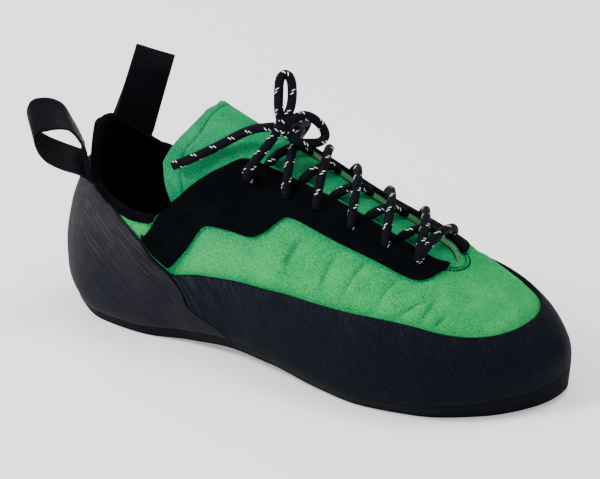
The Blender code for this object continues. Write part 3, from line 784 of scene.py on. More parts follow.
def weld(piece: bpy.types.Object, distance: float = 2e-5) -> None:
    """Merge a mesh's doubled points and drop what has no area."""
    solid = bmesh.new()
    solid.from_mesh(piece.data)
    bmesh.ops.remove_doubles(solid, verts=solid.verts, dist=distance)
    bmesh.ops.dissolve_degenerate(solid, edges=solid.edges, dist=distance / 2)
    solid.to_mesh(piece.data)
    solid.free()


def close_ends(piece: bpy.types.Object) -> None:
    """Weld a tube's seam, cap its two ends and point its faces outwards."""
    solid = bmesh.new()
    solid.from_mesh(piece.data)
    bmesh.ops.remove_doubles(solid, verts=solid.verts, dist=1e-6)
    bmesh.ops.holes_fill(solid, edges=[e for e in solid.edges if e.is_boundary], sides=0)
    bmesh.ops.recalc_face_normals(solid, faces=solid.faces)
    solid.to_mesh(piece.data)
    solid.free()


def smooth(piece: bpy.types.Object, degrees: float = 42.0) -> None:
    """Shade a piece smooth, with its hard edges kept."""
    choose(piece)
    bpy.ops.object.shade_smooth_by_angle(angle=math.radians(degrees))


def hand_in(piece: bpy.types.Object, name: str, slot: str, *nodes: str) -> bpy.types.Object:
    """Name a finished piece, tie it to the body and hide the CAD nodes that it replaces.

    Args:
        piece: The finished piece.
        name: Its name.
        slot: The record's material slot; not used.
        *nodes: The CAD nodes that it replaces.

    Returns:
        The piece.
    """
    piece.name = piece.data.name = name
    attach(piece, BODY)
    if nodes:
        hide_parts(*nodes)
    log.info("%s: %d faces", name, len(piece.data.polygons))
    return piece


def grid(columns: int, rows: int) -> tuple[bpy.types.Object, Array]:
    """Add a grid of one by one, and give its points' two shares.

    Args:
        columns: Cells along it.
        rows: Cells across it.

    Returns:
        The grid and its points' shares from 0 to 1.
    """
    deselect()
    bpy.ops.mesh.primitive_grid_add(x_subdivisions=columns, y_subdivisions=rows, size=1.0)
    piece = bpy.context.object
    flat = np.empty(len(piece.data.vertices) * 3)
    piece.data.vertices.foreach_get("co", flat)
    return piece, np.clip(flat.reshape(-1, 3)[:, :2] + 0.5, 0, 1)


def shape(piece: bpy.types.Object, points: Array, **numbers: Array) -> None:
    """Move a piece's points, and store numbers on them for its finish."""
    piece.data.vertices.foreach_set("co", np.ascontiguousarray(points, float).ravel())
    for name, values in numbers.items():
        store = piece.data.attributes.new(name, "FLOAT", "POINT")
        store.data.foreach_set("value", np.asarray(values, np.float32))
    piece.data.update()


def sew_halves(halves: dict[Side, bpy.types.Object]) -> bpy.types.Object:
    """Turn the inner half's faces outwards, and weld the halves into one piece."""
    if Side.MEDIAL in halves:
        halves[Side.MEDIAL].data.flip_normals()
    piece = join(list(halves.values()))
    weld(piece)
    return piece


def lay_uv(piece: bpy.types.Object, across: Array, up: Array) -> None:
    """Give each point of a piece its place on the pattern of its finish."""
    corner = np.empty(len(piece.data.loops), int)
    piece.data.loops.foreach_get("vertex_index", corner)
    uv = np.stack([across, up], -1)[corner]
    piece.data.uv_layers.active.data.foreach_set("uv", uv.ravel())


EdgeRule = Callable[[Array, Side], Array]


def alike(edge: Callable[[Array], Array]) -> EdgeRule:
    """Use one edge on both sides of the shoe."""
    return lambda along, side: edge(along)


@dataclass
class Skin:
    """A sheet of even thickness laid on the foot form between two edges."""

    start: float
    end: float
    low: EdgeRule
    high: EdgeRule
    offset: float
    wall: float
    columns: int
    rows: int
    sides: tuple[Side, ...] = BOTH
    relief: Optional[Callable[[Array, Array, Side, Array], Array]] = None
    marks: Optional[Callable[[Array, Array, Side, Array], dict[str, Array]]] = None

    def sheet(self) -> bpy.types.Object:
        """Lay the open sheet and weld its two sides."""
        halves = {}
        first, last = FORM.station(np.array([self.start, self.end]))
        for side in self.sides:
            halves[side], shares = grid(self.columns, self.rows)
            along = FORM.along(first + (last - first) * shares[:, 0])
            low = self.low(along, side)
            high = np.maximum(self.high(along, side), low)
            rise = low + (high - low) * shares[:, 1]
            points = FORM.layer(along, rise, side, np.full_like(rise, self.offset))
            if self.relief:
                shift = self.relief(along, rise, side, points)
                points = FORM.layer(along, rise, side, self.offset + shift)
            numbers = self.marks(along, rise, side, points) if self.marks else {}
            empty = np.zeros_like(rise)
            # On the upper, edge and seam also carry painted shade in the creases, and light
            # carries painted light.
            numbers = {key: numbers.get(key, empty) for key in ("edge", "seam", "light")}
            shape(halves[side], points, **numbers)
        return sew_halves(halves)

    def build(self, finishes: Sequence[bpy.types.Material], round_edge: float = 0.0
              ) -> bpy.types.Object:
        """Thicken the sheet outwards and round its edges.

        Args:
            finishes: Materials of the outside, the inside and the cut edge.
            round_edge: Radius of the rounded edges.

        Returns:
            The piece.
        """
        piece = self.sheet()
        piece.data.materials.clear()
        for finish in finishes:
            piece.data.materials.append(finish)
        apply(
            piece, "SOLIDIFY", thickness=self.wall, offset=1.0, use_even_offset=True,
            material_offset=min(1, len(finishes) - 1), material_offset_rim=len(finishes) - 1,
        )
        if round_edge:
            apply(
                piece, "BEVEL", width=round_edge, segments=3, limit_method="ANGLE",
                angle_limit=math.radians(55), use_clamp_overlap=True,
            )
        smooth(piece)
        return piece


def fall(distance: Array, reach: float) -> Array:
    """Fade from 1 at no distance to 0 far off, over a reach."""
    return np.exp(-((np.asarray(distance) / reach) ** 2))


def step_up(value: Array, low: float, high: float) -> Array:
    """Step smoothly from 0 at one value to 1 at another."""
    t = np.clip((value - low) / (high - low), 0, 1)
    return t * t * (3 - 2 * t)


def to_line(points: Array, line: Array) -> Array:
    """Measure how far points lie from a broken line.

    Args:
        points: The points.
        line: Corners of the line.

    Returns:
        The distances.
    """
    best = np.full(len(points), np.inf)
    for a, b in zip(line, line[1:]):
        run = b - a
        t = np.clip((points - a) @ run / (run @ run), 0, 1)
        best = np.minimum(best, np.linalg.norm(points - a - t[:, None] * run, axis=1))
    return best


@dataclass(frozen=True)
class Crease:
    """A soft fold of the suede: places on the form that it runs through, and its depth."""

    route: tuple[tuple[float, float], ...]
    depth: float
    width: float = 0.0015
    side: Side = Side.LATERAL

    def relief(self, points: Array, side: Side) -> Array:
        """Give the trough and the soft ridges beside it."""
        if side is not self.side:
            return np.zeros(len(points))
        alongs, rises = (np.array(values) for values in zip(*self.route))
        line = even_points(FORM.layer(alongs, rises, side, np.zeros(len(alongs))), 12)
        far = to_line(points, line)
        ends = np.minimum(
            np.linalg.norm(points - line[0], axis=1), np.linalg.norm(points - line[-1], axis=1)
        )
        fade = step_up(ends, 0.0, 0.35 * lengths_along(line)[-1]) * 0.7 + 0.3
        ridge = 0.55 * fall(far - 2.6 * self.width, 1.8 * self.width)
        return self.depth * fade * (ridge - fall(far, self.width))


CREASES = (
    Crease(((0.672, 57.0), (0.660, 46.5), (0.652, 38.0), (0.645, 29.5)), 0.00135),
    Crease(((0.733, 56.5), (0.719, 45.5), (0.716, 35.0)), 0.00110),
    Crease(((0.784, 52.0), (0.767, 42.5), (0.750, 34.5)), 0.00100),
    Crease(((0.800, 60.0), (0.796, 46.5), (0.790, 36.0)), 0.00060, 0.0020),
    Crease(((0.828, 50.0), (0.812, 38.0)), 0.00050, 0.0015),
    Crease(((0.262, 8.5), (0.271, 5.0), (0.279, 1.0)), 0.00060, 0.0011),
    Crease(((0.612, 51.0), (0.604, 40.0), (0.600, 28.0)), 0.00055, 0.0024),
    Crease(((0.545, 48.5), (0.530, 38.0), (0.520, 26.0)), 0.00035, 0.0030),
    Crease(((0.662, 56.0), (0.655, 45.0), (0.645, 33.0)), 0.00120, 0.0017, Side.MEDIAL),
    Crease(((0.724, 57.0), (0.716, 44.0), (0.706, 34.0)), 0.00110, 0.0016, Side.MEDIAL),
    Crease(((0.779, 55.0), (0.764, 42.0), (0.752, 35.0)), 0.00080, 0.0016, Side.MEDIAL),
)


def eyestay_top(along: Array, side: Side) -> Array:
    """Give the upper edge of a lace stay, a little below the rim ahead of the collar."""
    slant = 7.0 * np.clip((0.245 - along) / 0.033, 0.0, 1.0)
    return collar_rim(along, side) - slant - 2.0 * np.clip((along - 0.35) / 0.1, 0.0, 1.0)


@dataclass
class Upper:
    """The hollow suede upper with its creases, its lining and its cut edge."""

    columns: int = 250
    rows: int = 80
    throat_seam: float = 0.0042
    thread: float = 0.00042
    metres_a_degree: float = 0.00085
    seam_depth: float = 0.0007
    arc_centre: float = 0.757
    arc_reach: float = 0.0500
    arc_spread: float = 15.5

    def high(self, along: Array, side: Side) -> Array:
        """Give the rim: the collar and throat, and the ridge ahead of the throat."""
        return np.where(along < THROAT_FRONT, collar_rim(along, side), RIDGE)

    def low(self, along: Array, side: Side) -> Array:
        """Give the lower edge, hidden under the sole's cup."""
        return np.where(along < 0.97, -75.0, -58.0)

    def seam(self, points: Array) -> Array:
        """Find the stitched arc that goes round the front of the throat."""
        arcs = []
        for side in BOTH:
            along = np.linspace(0.735, THROAT_FRONT - 0.0001, 40)
            arcs.append(FORM.layer(along, RIM[side](along), side, np.full(40, LAYERS.upper)))
        throat = np.vstack([arcs[0], arcs[1][::-1]])
        far = to_line(points, throat)
        ahead = step_up(points[:, 0], 0.1475, 0.1525)
        return fall(far - self.throat_seam, 0.00065) * ahead

    def relief(self, along: Array, rise: Array, side: Side, points: Array) -> Array:
        """Add up the creases, faded out where an overlay covers the suede."""
        total = sum(crease.relief(points, side) for crease in CREASES)
        above_rand = step_up(rise - rand_top(along), 0.0, 5.0)
        below_stay = step_up(eyestay_foot(along) - rise, 0.0, 4.0)
        open_ahead = step_up(along, 0.775, 0.80)
        mask = above_rand * np.maximum(below_stay, open_ahead)
        waves = 0.00012 * np.sin(along * 190 + rise * 0.11) * np.sin(rise * 0.17 + along * 55)
        return (total + waves) * mask - self.seam_depth * self.seam(points)

    def marks(self, along: Array, rise: Array, side: Side, points: Array) -> dict[str, Array]:
        """Give where the suede turns teal near its overlays, its dark seam and collar edge,
        painted shade in its creases and painted light on its rear quarter.
        """
        rand = (rise - rand_top(along)) * self.metres_a_degree
        stay = (eyestay_foot(along) - rise) * self.metres_a_degree
        beside = (along < THROAT_FRONT) * step_up(along, 0.22, 0.26)
        near = fall(np.clip(stay, 0, None), 0.0045) * beside
        near = np.maximum(near, 0.45 * fall(np.clip(rand, 0, None), 0.0018))
        # Painted shade: each crease's trough is tinted teal through the edge number and darkened
        # through the seam number.
        folds = np.zeros_like(rise)
        for crease in CREASES:
            if crease.side is side:
                lift = crease.relief(points, side)
                folds = np.maximum(folds, np.clip(-lift / crease.depth, 0, 1) ** 2)
        bound = step_up(rise - collar_rim(along, side), -0.9, -0.2) * (along < 0.27)
        seam = np.clip(0.9 * self.seam(points) + 0.5 * folds + bound, 0, 1)
        # Painted light: the rear quarter painted paler as if lit, and a little paler just ahead of
        # the throat.
        light = step_up(-along, -0.50, -0.30) + 0.25 * step_up(along, 0.80, 0.86)
        return {"edge": np.clip(near + 0.9 * folds, 0, 1), "seam": seam, "light": light}

    def build(self, finishes: dict[str, bpy.types.Material]) -> bpy.types.Object:
        """Build the wall and punch its eyelets."""
        skin = Skin(
            0.0, 1.0, self.low, self.high, 0.0, LAYERS.upper, self.columns, self.rows,
            relief=self.relief, marks=self.marks,
        )
        layers = [finishes[key] for key in ("green", "lining", "cut_green")]
        piece = skin.build(layers, SUEDE_ROUND)
        punch_eyelets(piece, BOTH)
        self.sew_throat(finishes["thread"])
        return hand_in(piece, "suede_upper", "green_suede", "upper")

    def sew_throat(self, finish: bpy.types.Material) -> None:
        """Lay the row of stitches that goes round the front of the throat."""
        turns = np.linspace(-1.15, 1.15, 60)
        along = self.arc_centre + self.arc_reach * np.cos(turns)
        angle = RIDGE + self.arc_spread * np.sin(turns)
        line = even_points(FORM.layer(along, angle, Side.LATERAL, np.full(60, LAYERS.upper)), 61)
        stitches = []
        for start in range(0, 60, 4):
            path = line[start:start + 4]
            piece, shares = grid(6, 8)
            run = np.interp(shares[:, 0], np.linspace(0, 1, 4), np.arange(4.0))
            middle = np.stack([np.interp(run, np.arange(4.0), path[:, k]) for k in range(3)], -1)
            along_it = path[-1] - path[0]
            side_way = np.cross(along_it, (0.0, 0.0, 1.0))
            side_way /= np.linalg.norm(side_way)
            turn = 2 * math.pi * shares[:, 1]
            radius = self.thread * (0.45 + 0.55 * np.sin(math.pi * shares[:, 0]) ** 0.5)
            ring = np.cos(turn)[:, None] * side_way + np.sin(turn)[:, None] * (0.0, 0.0, 1.0)
            shape(piece, middle + ring * radius[:, None])
            close_ends(piece)
            stitches.append(piece)
        piece = join(stitches)
        piece.data.materials.append(finish)
        smooth(piece, TUBE_SHADE)
        hand_in(piece, "throat_stitches", "green_suede")


EYELET_DIAMETER = 0.0048
EYELET_SIDES = 28
# How far inside and outside the form a punch starts and ends
PUNCH_REACH = (-0.0025, 0.0085)


def punch_eyelets(piece: bpy.types.Object, sides: Sequence[Side]) -> None:
    """Cut the round lace holes through a piece, square to its surface."""
    punches = []
    for eyelet in EYELETS:
        for side in sides:
            rise = getattr(eyelet, side.value)
            foot, head = (
                Vector(FORM.layer(np.array(eyelet.along), np.array(rise), side, np.array(reach)))
                for reach in PUNCH_REACH
            )
            run = head - foot
            deselect()
            bpy.ops.mesh.primitive_cylinder_add(
                vertices=EYELET_SIDES, radius=EYELET_DIAMETER / 2, depth=run.length,
                location=(head + foot) / 2, rotation=run.to_track_quat("Z", "Y").to_euler(),
            )
            punches.append(bpy.context.object)
    punch = join(punches)
    apply(piece, "BOOLEAN", object=punch, operation="DIFFERENCE", solver="EXACT")
    bpy.data.objects.remove(punch, do_unlink=True)
    smooth(piece)


@dataclass
class Overlays:
    """The lace stays, the collar's binding, the tongue and the insole."""

    collar_rise: float = 3.6
    over_heel: float = 0.9
    stay_ends: tuple[float, float] = (0.212, 0.7848)
    stay_highest: float = 82.0
    binding_end: float = 0.2330
    binding_wall: float = 0.0007
    roll_inside: float = 0.0008
    roll_lift: float = 0.0016
    tongue_ends: tuple[float, float] = (0.234, 0.812)
    hem_depth: float = 0.0006
    insole_ends: tuple[float, float] = (0.012, 0.988)

    def stay_low(self, along: Array, side: Side) -> Array:
        """Give a stay's lower edge, clear of the heel rand and rounded at the front."""
        foot = np.maximum(eyestay_foot(along), heel_rand_top(along) + self.over_heel)
        front = np.interp(along, (0.770, 0.776, 0.781, 0.7845), (0.0, 67.5, 72.0, 77.5))
        return np.maximum(foot, front)

    def stay_high(self, along: Array, side: Side) -> Array:
        """Give a stay's upper edge, never narrower than a few degrees."""
        least = self.stay_low(along, side) + 1.0 + 2.0 * (along > 0.7)
        return np.clip(eyestay_top(along, side), least, self.stay_highest)

    def build_stays(self, finishes: dict[str, bpy.types.Material]) -> None:
        """Build the two black suede lace stays."""
        for side in BOTH:
            skin = Skin(
                *self.stay_ends, self.stay_low, self.stay_high, LAYERS.over_upper, LAYERS.overlay,
                170, 30, sides=(side,),
            )
            piece = skin.build([finishes["black"]] * 3, SUEDE_ROUND)
            punch_eyelets(piece, (side,))
            node = f"eyestay_{side.value}"
            hand_in(piece, f"lace_stay_{side.value}", "black_suede", node)

    def build_binding(self, finishes: dict[str, bpy.types.Material]) -> None:
        """Build the rolled binding that folds over the collar's edge."""
        halves = {}
        outer = LAYERS.over_upper + LAYERS.overlay
        last = FORM.station(np.array(self.binding_end))
        for side in BOTH:
            halves[side], shares = grid(90, 26)
            along = FORM.along(last * shares[:, 0])
            rim = collar_rim(along, side)
            height = self.collar_rise - 1.9 * step_up(along, 0.11, 0.17)
            low = np.maximum(heel_rand_top(along) + self.over_heel, rim - height)
            edge, below = (FORM.layer(along, rim - drop, side, 0 * rim) for drop in (0.0, 1.0))
            per_degree = np.linalg.norm(edge - below, axis=1)
            v = shares[:, 1]
            over = np.clip((v - 0.45) / 0.25, 0, 1) * math.pi
            middle, radius = (outer - self.roll_inside) / 2, (outer + self.roll_inside) / 2
            rolled = middle + radius * np.cos(over)
            offset = np.where(v < 0.45, outer, np.where(v > 0.7, -self.roll_inside, rolled))
            lift = self.roll_lift * np.sin(over) / per_degree
            rise = np.where(
                v < 0.45, low + (rim - low) * v / 0.45,
                np.where(v > 0.7, rim - 3.0 * (v - 0.7) / 0.3, rim + lift),
            )
            shape(halves[side], FORM.layer(along, rise, side, offset))
        piece = sew_halves(halves)
        piece.data.materials.append(finishes["binding"])
        apply(piece, "SOLIDIFY", thickness=self.binding_wall, offset=-1.0, use_even_offset=False)
        smooth(piece)
        hand_in(piece, "collar_binding", "collar_fabric", "collar_band")

    def tongue_relief(self, along: Array, rise: Array, side: Side, points: Array) -> Array:
        """Press the hem's stitch line into the tongue."""
        return -self.hem_depth * self.hem(along, rise) + 0.00015 * np.sin(rise * 0.23 + along * 40)

    def hem(self, along: Array, rise: Array) -> Array:
        """Find the hem's stitch line, some way inside the tongue's rear edge."""
        rises, alongs = zip(*TONGUE_HEM)
        back = smooth_curve(rises, alongs, np.clip(rise, rises[0], rises[-1]))
        return fall((along - back) * FORM.length, 0.0006)

    def build_tongue(self, finishes: dict[str, bpy.types.Material]) -> None:
        """Build the suede tongue with its hem."""
        skin = Skin(
            *self.tongue_ends, alike(tongue_foot), alike(tongue_top),
            -LAYERS.tongue_gap - LAYERS.tongue, LAYERS.tongue, 150, 34, relief=self.tongue_relief,
            marks=lambda along, rise, side, points: {
                "seam": 0.8 * self.hem(along, rise),
                "edge": step_up(62 - rise, 0, 40) * 0.8,
            },
        )
        layers = [finishes[key] for key in ("tongue", "lining", "cut_green")]
        piece = skin.build(layers, SUEDE_ROUND)
        hand_in(piece, "suede_tongue", "green_suede", "tongue")

    def build_insole(self, finishes: dict[str, bpy.types.Material]) -> None:
        """Build the thin insole."""
        skin = Skin(
            *self.insole_ends, lambda along, side: np.full_like(along, -90.0), alike(sole_rise),
            -LAYERS.gap - LAYERS.insole, LAYERS.insole, 110, 20,
        )
        piece = skin.build([finishes["insole"]] * 3, SUEDE_ROUND)
        hand_in(piece, "felt_insole", "insole_fabric", "insole")


@dataclass
class Rubbers:
    """The toe rand, the slingshot heel rand and the sole."""

    heel_round: float = 0.0008
    toe_round: float = 0.0006
    heel_end: float = 0.412
    toe_start: float = 0.276
    sole_taper: float = 0.0045
    sole_round: float = 0.0010
    sole_columns: int = 150
    cup_rows: int = 14

    def build_heel(self, finishes: dict[str, bpy.types.Material]) -> None:
        """Build the slingshot rand round the heel."""
        skin = Skin(
            0.0, self.heel_end, alike(rand_foot), alike(heel_rand_top), LAYERS.over_upper,
            LAYERS.heel_rand, 120, 40,
        )
        piece = skin.build([finishes["heel"]] * 3, self.heel_round)
        hand_in(piece, "slingshot_rand", "rand_rubber", "heel_rand")

    def build_toe(self, finishes: dict[str, bpy.types.Material]) -> None:
        """Build the rand round the forefoot."""
        def low(along: Array, side: Side) -> Array:
            """Give the lower edge: the sole, or the heel rand's edge further back."""
            return np.maximum(rand_foot(along), heel_rand_top(along - 0.0017) + 0.45)

        skin = Skin(
            self.toe_start, 1.0, low, alike(rand_top), LAYERS.over_upper, LAYERS.rand, 170, 34,
        )
        piece = skin.build([finishes["rand"]] * 3, self.toe_round)
        hand_in(piece, "forefoot_rand", "rand_rubber", "toe_rand")

    def sole_rows(self, along: Array, side: Side, rows: int) -> Array:
        """Give the sole's half sections: cupped top from the middle out, side and tread.

        Args:
            along: Shares of the length.
            side: Side of the shoe.
            rows: How many points the cupped top has.

        Returns:
            Points by row and column.
        """
        edge = sole_rise(along)
        under = np.full_like(along, LAYERS.over_upper)
        top = [
            FORM.layer(along, -90 + (edge + 90) * share, side, under)
            for share in np.linspace(0, 1, rows)
        ]
        lip = FORM.layer(along, edge, side, np.full_like(along, LAYERS.over_upper + LAYERS.rand))
        tread = FORM.column("bottom", FORM.station(along)) * FORM.instep
        middle = np.stack([top[0][:, 0], top[0][:, 1], tread], -1)
        taper = self.sole_taper * 2 / FORM.ball_width
        foot = lip + (middle - lip) * [taper, taper, 0]
        foot[:, 2] = tread + self.sole_round
        flat = foot + (middle - foot) * (2 * self.sole_round / FORM.ball_width)
        flat[:, 2] = tread
        wall = [lip + (foot - lip) * share for share in (0.0, 0.25, 0.5, 0.75, 1.0)]
        round_off = foot + (flat - foot) * [[0.3, 0.3, 0.7]]
        rest = [flat + (middle - flat) * share for share in (0.0, 0.03, 0.2, 0.4, 0.6, 0.8, 1.0)]
        return np.array(top + wall + [round_off] + rest)

    def build_sole(self, finishes: dict[str, bpy.types.Material]) -> None:
        """Build the sole plate."""
        halves = {}
        columns = self.sole_columns
        for side in BOTH:
            along = (1 - np.cos(math.pi * np.arange(columns + 1) / columns)) / 2
            points = self.sole_rows(along, side, self.cup_rows)
            halves[side], shares = grid(columns, len(points) - 1)
            column = np.round(shares[:, 0] * columns).astype(int)
            row = np.round(shares[:, 1] * (len(points) - 1)).astype(int)
            shape(halves[side], points[row, column])
        piece = sew_halves(halves)
        choose(piece)
        bpy.ops.object.mode_set(mode="EDIT")
        bpy.ops.mesh.select_all(action="SELECT")
        bpy.ops.mesh.normals_make_consistent(inside=False)
        bpy.ops.object.mode_set(mode="OBJECT")
        piece.data.materials.append(finishes["sole"])
        apply(
            piece, "BEVEL", width=0.0005, segments=2, limit_method="ANGLE",
            angle_limit=math.radians(50),
        )
        smooth(piece)
        hand_in(piece, "rubber_sole", "sole_rubber", "outsole")


# The lace


@dataclass
class Lacing:
    """The lace: crossings through the eyelets, the knot, its loops and its free end."""

    diameter: float = 0.0042
    around: int = 14
    ring_step: float = 0.00065
    evening: int = 14
    plait_pitch: float = 0.0026
    knot: tuple[float, float, float] = (0.0720, -0.0098, 0.1076)
    over: float = 0.0076
    under: float = 0.0036
    up_route: tuple = (
        (-0.0027, 0.0016, 0.0060), (-0.0043, 0.0042, 0.0100), (-0.0057, 0.0072, 0.0149),
        (-0.0066, 0.0097, 0.0182), (-0.0052, 0.0116, 0.0202), (-0.0031, 0.0124, 0.0186),
        (-0.0014, 0.0111, 0.0153), (0.0002, 0.0086, 0.0113), (0.0010, 0.0058, 0.0070),
    )
    side_route: tuple = (
        (0.0049, 0.0035, 0.0038), (0.0077, 0.0067, 0.0044), (0.0110, 0.0097, 0.0018),
        (0.0142, 0.0117, -0.0025), (0.0155, 0.0117, -0.0063), (0.0141, 0.0087, -0.0081),
        (0.0110, 0.0043, -0.0074), (0.0081, -0.0004, -0.0061),
    )
    end_route: tuple = (
        (-0.0062, -0.0036, -0.0006), (-0.0102, -0.0038, -0.0016), (-0.0180, -0.0045, -0.0054),
        (-0.0251, -0.0083, -0.0100), (-0.0326, -0.0132, -0.0146), (-0.0399, -0.0166, -0.0186),
        (-0.0455, -0.0186, -0.0213),
    )
    lengths: dict = field(default_factory=dict)

    def tube(self, route: Sequence, finish: bpy.types.Material,
             taper: tuple[float, float] = (1.0, 1.0), start: float = 0.0, rounds: int = 0
             ) -> tuple[bpy.types.Object, Array]:
        """Sweep the round braid along a route.

        Args:
            route: Points that the lace runs through.
            finish: Its material.
            taper: How thick it is at its two ends, as shares.
            start: Where along the braid's pattern it starts, in metres.
            rounds: How many times the route is evened out, to round its bends.

        Returns:
            The tube, and the points of its middle line.
        """
        reach = lengths_along(np.asarray(route, float))[-1]
        rings = max(8, round(reach / self.ring_step))
        path = even_points(route, rings + 1)
        for _ in range(rounds):
            path[1:-1] += 0.5 * ((path[:-2] + path[2:]) / 2 - path[1:-1])
        length = lengths_along(path)
        tangent = np.gradient(path, axis=0)
        tangent /= np.linalg.norm(tangent, axis=1, keepdims=True)
        across = np.cross(tangent[0], (0.3, 0.2, 1.0))
        frames = []
        for direction in tangent:
            across = across - direction * (across @ direction)
            across = across / np.linalg.norm(across)
            frames.append((across, np.cross(direction, across)))
        piece, shares = grid(rings, self.around)
        ring = np.round(shares[:, 0] * rings).astype(int)
        turn = shares[:, 1]
        one, two = (np.array([f[k] for f in frames])[ring] for k in (0, 1))
        share = length[ring] / length[-1]
        size = np.minimum(
            taper[0] + (1 - taper[0]) * step_up(share, 0, 0.16),
            taper[1] + (1 - taper[1]) * step_up(1 - share, 0, 0.16),
        )
        beat = length[ring] / self.plait_pitch
        plait = np.sin(2 * math.pi * (beat + 3 * turn)) * np.sin(2 * math.pi * (beat - 3 * turn))
        radius = (self.diameter / 2) * size * (1 + 0.035 * plait)
        angle = 2 * math.pi * turn
        out = one * np.cos(angle)[:, None] + two * np.sin(angle)[:, None]
        shape(piece, path[ring] + out * radius[:, None])
        lay_uv(piece, (length[ring] + start) * 100, turn)
        close_ends(piece)
        piece.data.materials.append(finish)
        return piece, path

    def eye(self, row: int, side: Side, offset: float) -> Array:
        """Give the point over an eyelet at a distance outside the form."""
        eyelet = EYELETS[row]
        rise = getattr(eyelet, side.value)
        return FORM.layer(np.array(eyelet.along), np.array(float(rise)), side, np.array(offset))

    def between(self, first: tuple[float, float], last: tuple[float, float], share: float,
                offset: float) -> Array:
        """Give a point over the throat between two places, as place() gives them."""
        along = first[0] + (last[0] - first[0]) * share
        angle = first[1] + (last[1] - first[1]) * share
        return FORM.layer(np.array(along), np.array(angle), Side.LATERAL, np.array(offset))

    def place(self, row: int, side: Side) -> tuple[float, float]:
        """Give an eyelet's share of the length and its angle round the section."""
        rise = float(getattr(EYELETS[row], side.value))
        return EYELETS[row].along, rise if side is Side.LATERAL else 180.0 - rise

    def over_strand(self, start: tuple[int, Side], end: tuple[int, Side]) -> list[Array]:
        """Route a strand that comes up through one eyelet and goes down through another."""
        first, last = self.place(*start), self.place(*end)
        seat = LAYERS.over_upper + LAYERS.overlay + self.diameter / 2 + 0.0001
        route = [self.eye(*start, 0.0004), self.eye(*start, 0.0036)]
        for share in (0.10, 0.24, 0.38, 0.5, 0.62, 0.76, 0.90):
            lift = math.sin(math.pi * share) ** 1.2
            route.append(self.between(first, last, share, seat + (self.over - seat) * lift))
        return route + [self.eye(*end, 0.0036), self.eye(*end, 0.0004)]

    def under_strand(self, start: tuple[int, Side], end: tuple[int, Side]) -> list[Array]:
        """Route a strand that passes under the throat's edge on both sides."""
        first, last = self.place(*start), self.place(*end)
        return [
            self.between(first, last, share, offset)
            for share, offset in (
                (0.16, 0.0008), (0.26, 0.0021), (0.38, self.under), (0.5, self.under),
                (0.62, self.under), (0.74, 0.0021), (0.84, 0.0008),
            )
        ]

    def build_crossings(self, finish: bpy.types.Material) -> None:
        """Build the crossings, the front bar and the two runs to the knot."""
        last = len(EYELETS) - 1
        lateral, medial = BOTH
        strands = [(self.over_strand((last, lateral), (last, medial)), (1.0, 1.0))]
        for row in range(last):
            strands.append((self.over_strand((row + 1, lateral), (row, medial)), (1.0, 1.0)))
            strands.append((self.under_strand((row + 1, medial), (row, lateral)), (0.55, 0.55)))
        knot = np.array(self.knot)
        for side in BOTH:
            foot = self.eye(0, side, 0.0004)
            lift = self.eye(0, side, 0.0062)
            rise = self.eye(0, side, 0.0098)
            toward = knot + (rise - knot) * 0.35 + np.array([0.0, 0.0, 0.0005])
            strands.append(([foot, lift, rise, toward, knot], (1.0, 0.8)))
        pieces = [
            self.tube(route, finish, taper, 0.013 * i)[0]
            for i, (route, taper) in enumerate(strands)
        ]
        piece = join(pieces)
        smooth(piece, TUBE_SHADE)
        hand_in(piece, "lace_over_throat", "lace_cord", "lace_crossings")

    def build_knot(self, finish: bpy.types.Material) -> bpy.types.Object:
        """Build the knot: a band wrapped round the loops' roots, and a turn that crosses it."""
        knot = np.array(self.knot)
        right = np.array([0.875, 0.485, 0.0])
        up = np.array([-0.22, 0.35, 0.91])
        toward = np.cross(right, up)
        wraps = []
        for axis, one, two, radius, turns, tilt in (
            (up, right, toward, 0.0030, 1.25, 0.0016), (right, toward, up, 0.0026, 1.1, 0.0014),
        ):
            angles = np.linspace(0.4, 0.4 + 2 * math.pi * turns, 18)
            wraps.append([
                knot + radius * (math.cos(a) * one + math.sin(a) * two)
                + axis * tilt * (a / angles[-1] - 0.5) * 2
                for a in angles
            ])
        pieces = [
            self.tube(wrap, finish, (0.8, 0.8), 0.02 * i)[0] for i, wrap in enumerate(wraps)
        ]
        piece = join(pieces)
        smooth(piece, TUBE_SHADE)
        return hand_in(piece, "lace_bow_knot", "lace_cord", "lace_knot")

    def build_free(self, finish: bpy.types.Material) -> None:
        """Build the bow's two loops and the free end, and note each one's length."""
        knot = np.array(self.knot)
        for name, route, node, loop in (
            ("lace_bow_upright", self.up_route, "lace_loop_up", True),
            ("lace_bow_side", self.side_route, "lace_loop_side", True),
            ("lace_free_end", self.end_route, "lace_end", False),
        ):
            ends = [np.array(route[0]) * 0.35, np.array(route[-1]) * 0.35]
            inner = [ends[0], *map(np.array, route)] + ([ends[1]] if loop else [])
            points = [knot + point for point in inner]
            piece, path = self.tube(points, finish, start=0.01, rounds=self.evening)
            smooth(piece, TUBE_SHADE)
            hand_in(piece, name, "lace_cord", node)
            length = float(lengths_along(path)[-1])
            self.lengths[name] = length


class Fold(NamedTuple):
    """A place along the webbing: its rear and its front edge, in shares of the loop's reach."""

    rear_forward: float
    rear_inward: float
    rear_up: float
    front_forward: float
    front_inward: float
    front_up: float


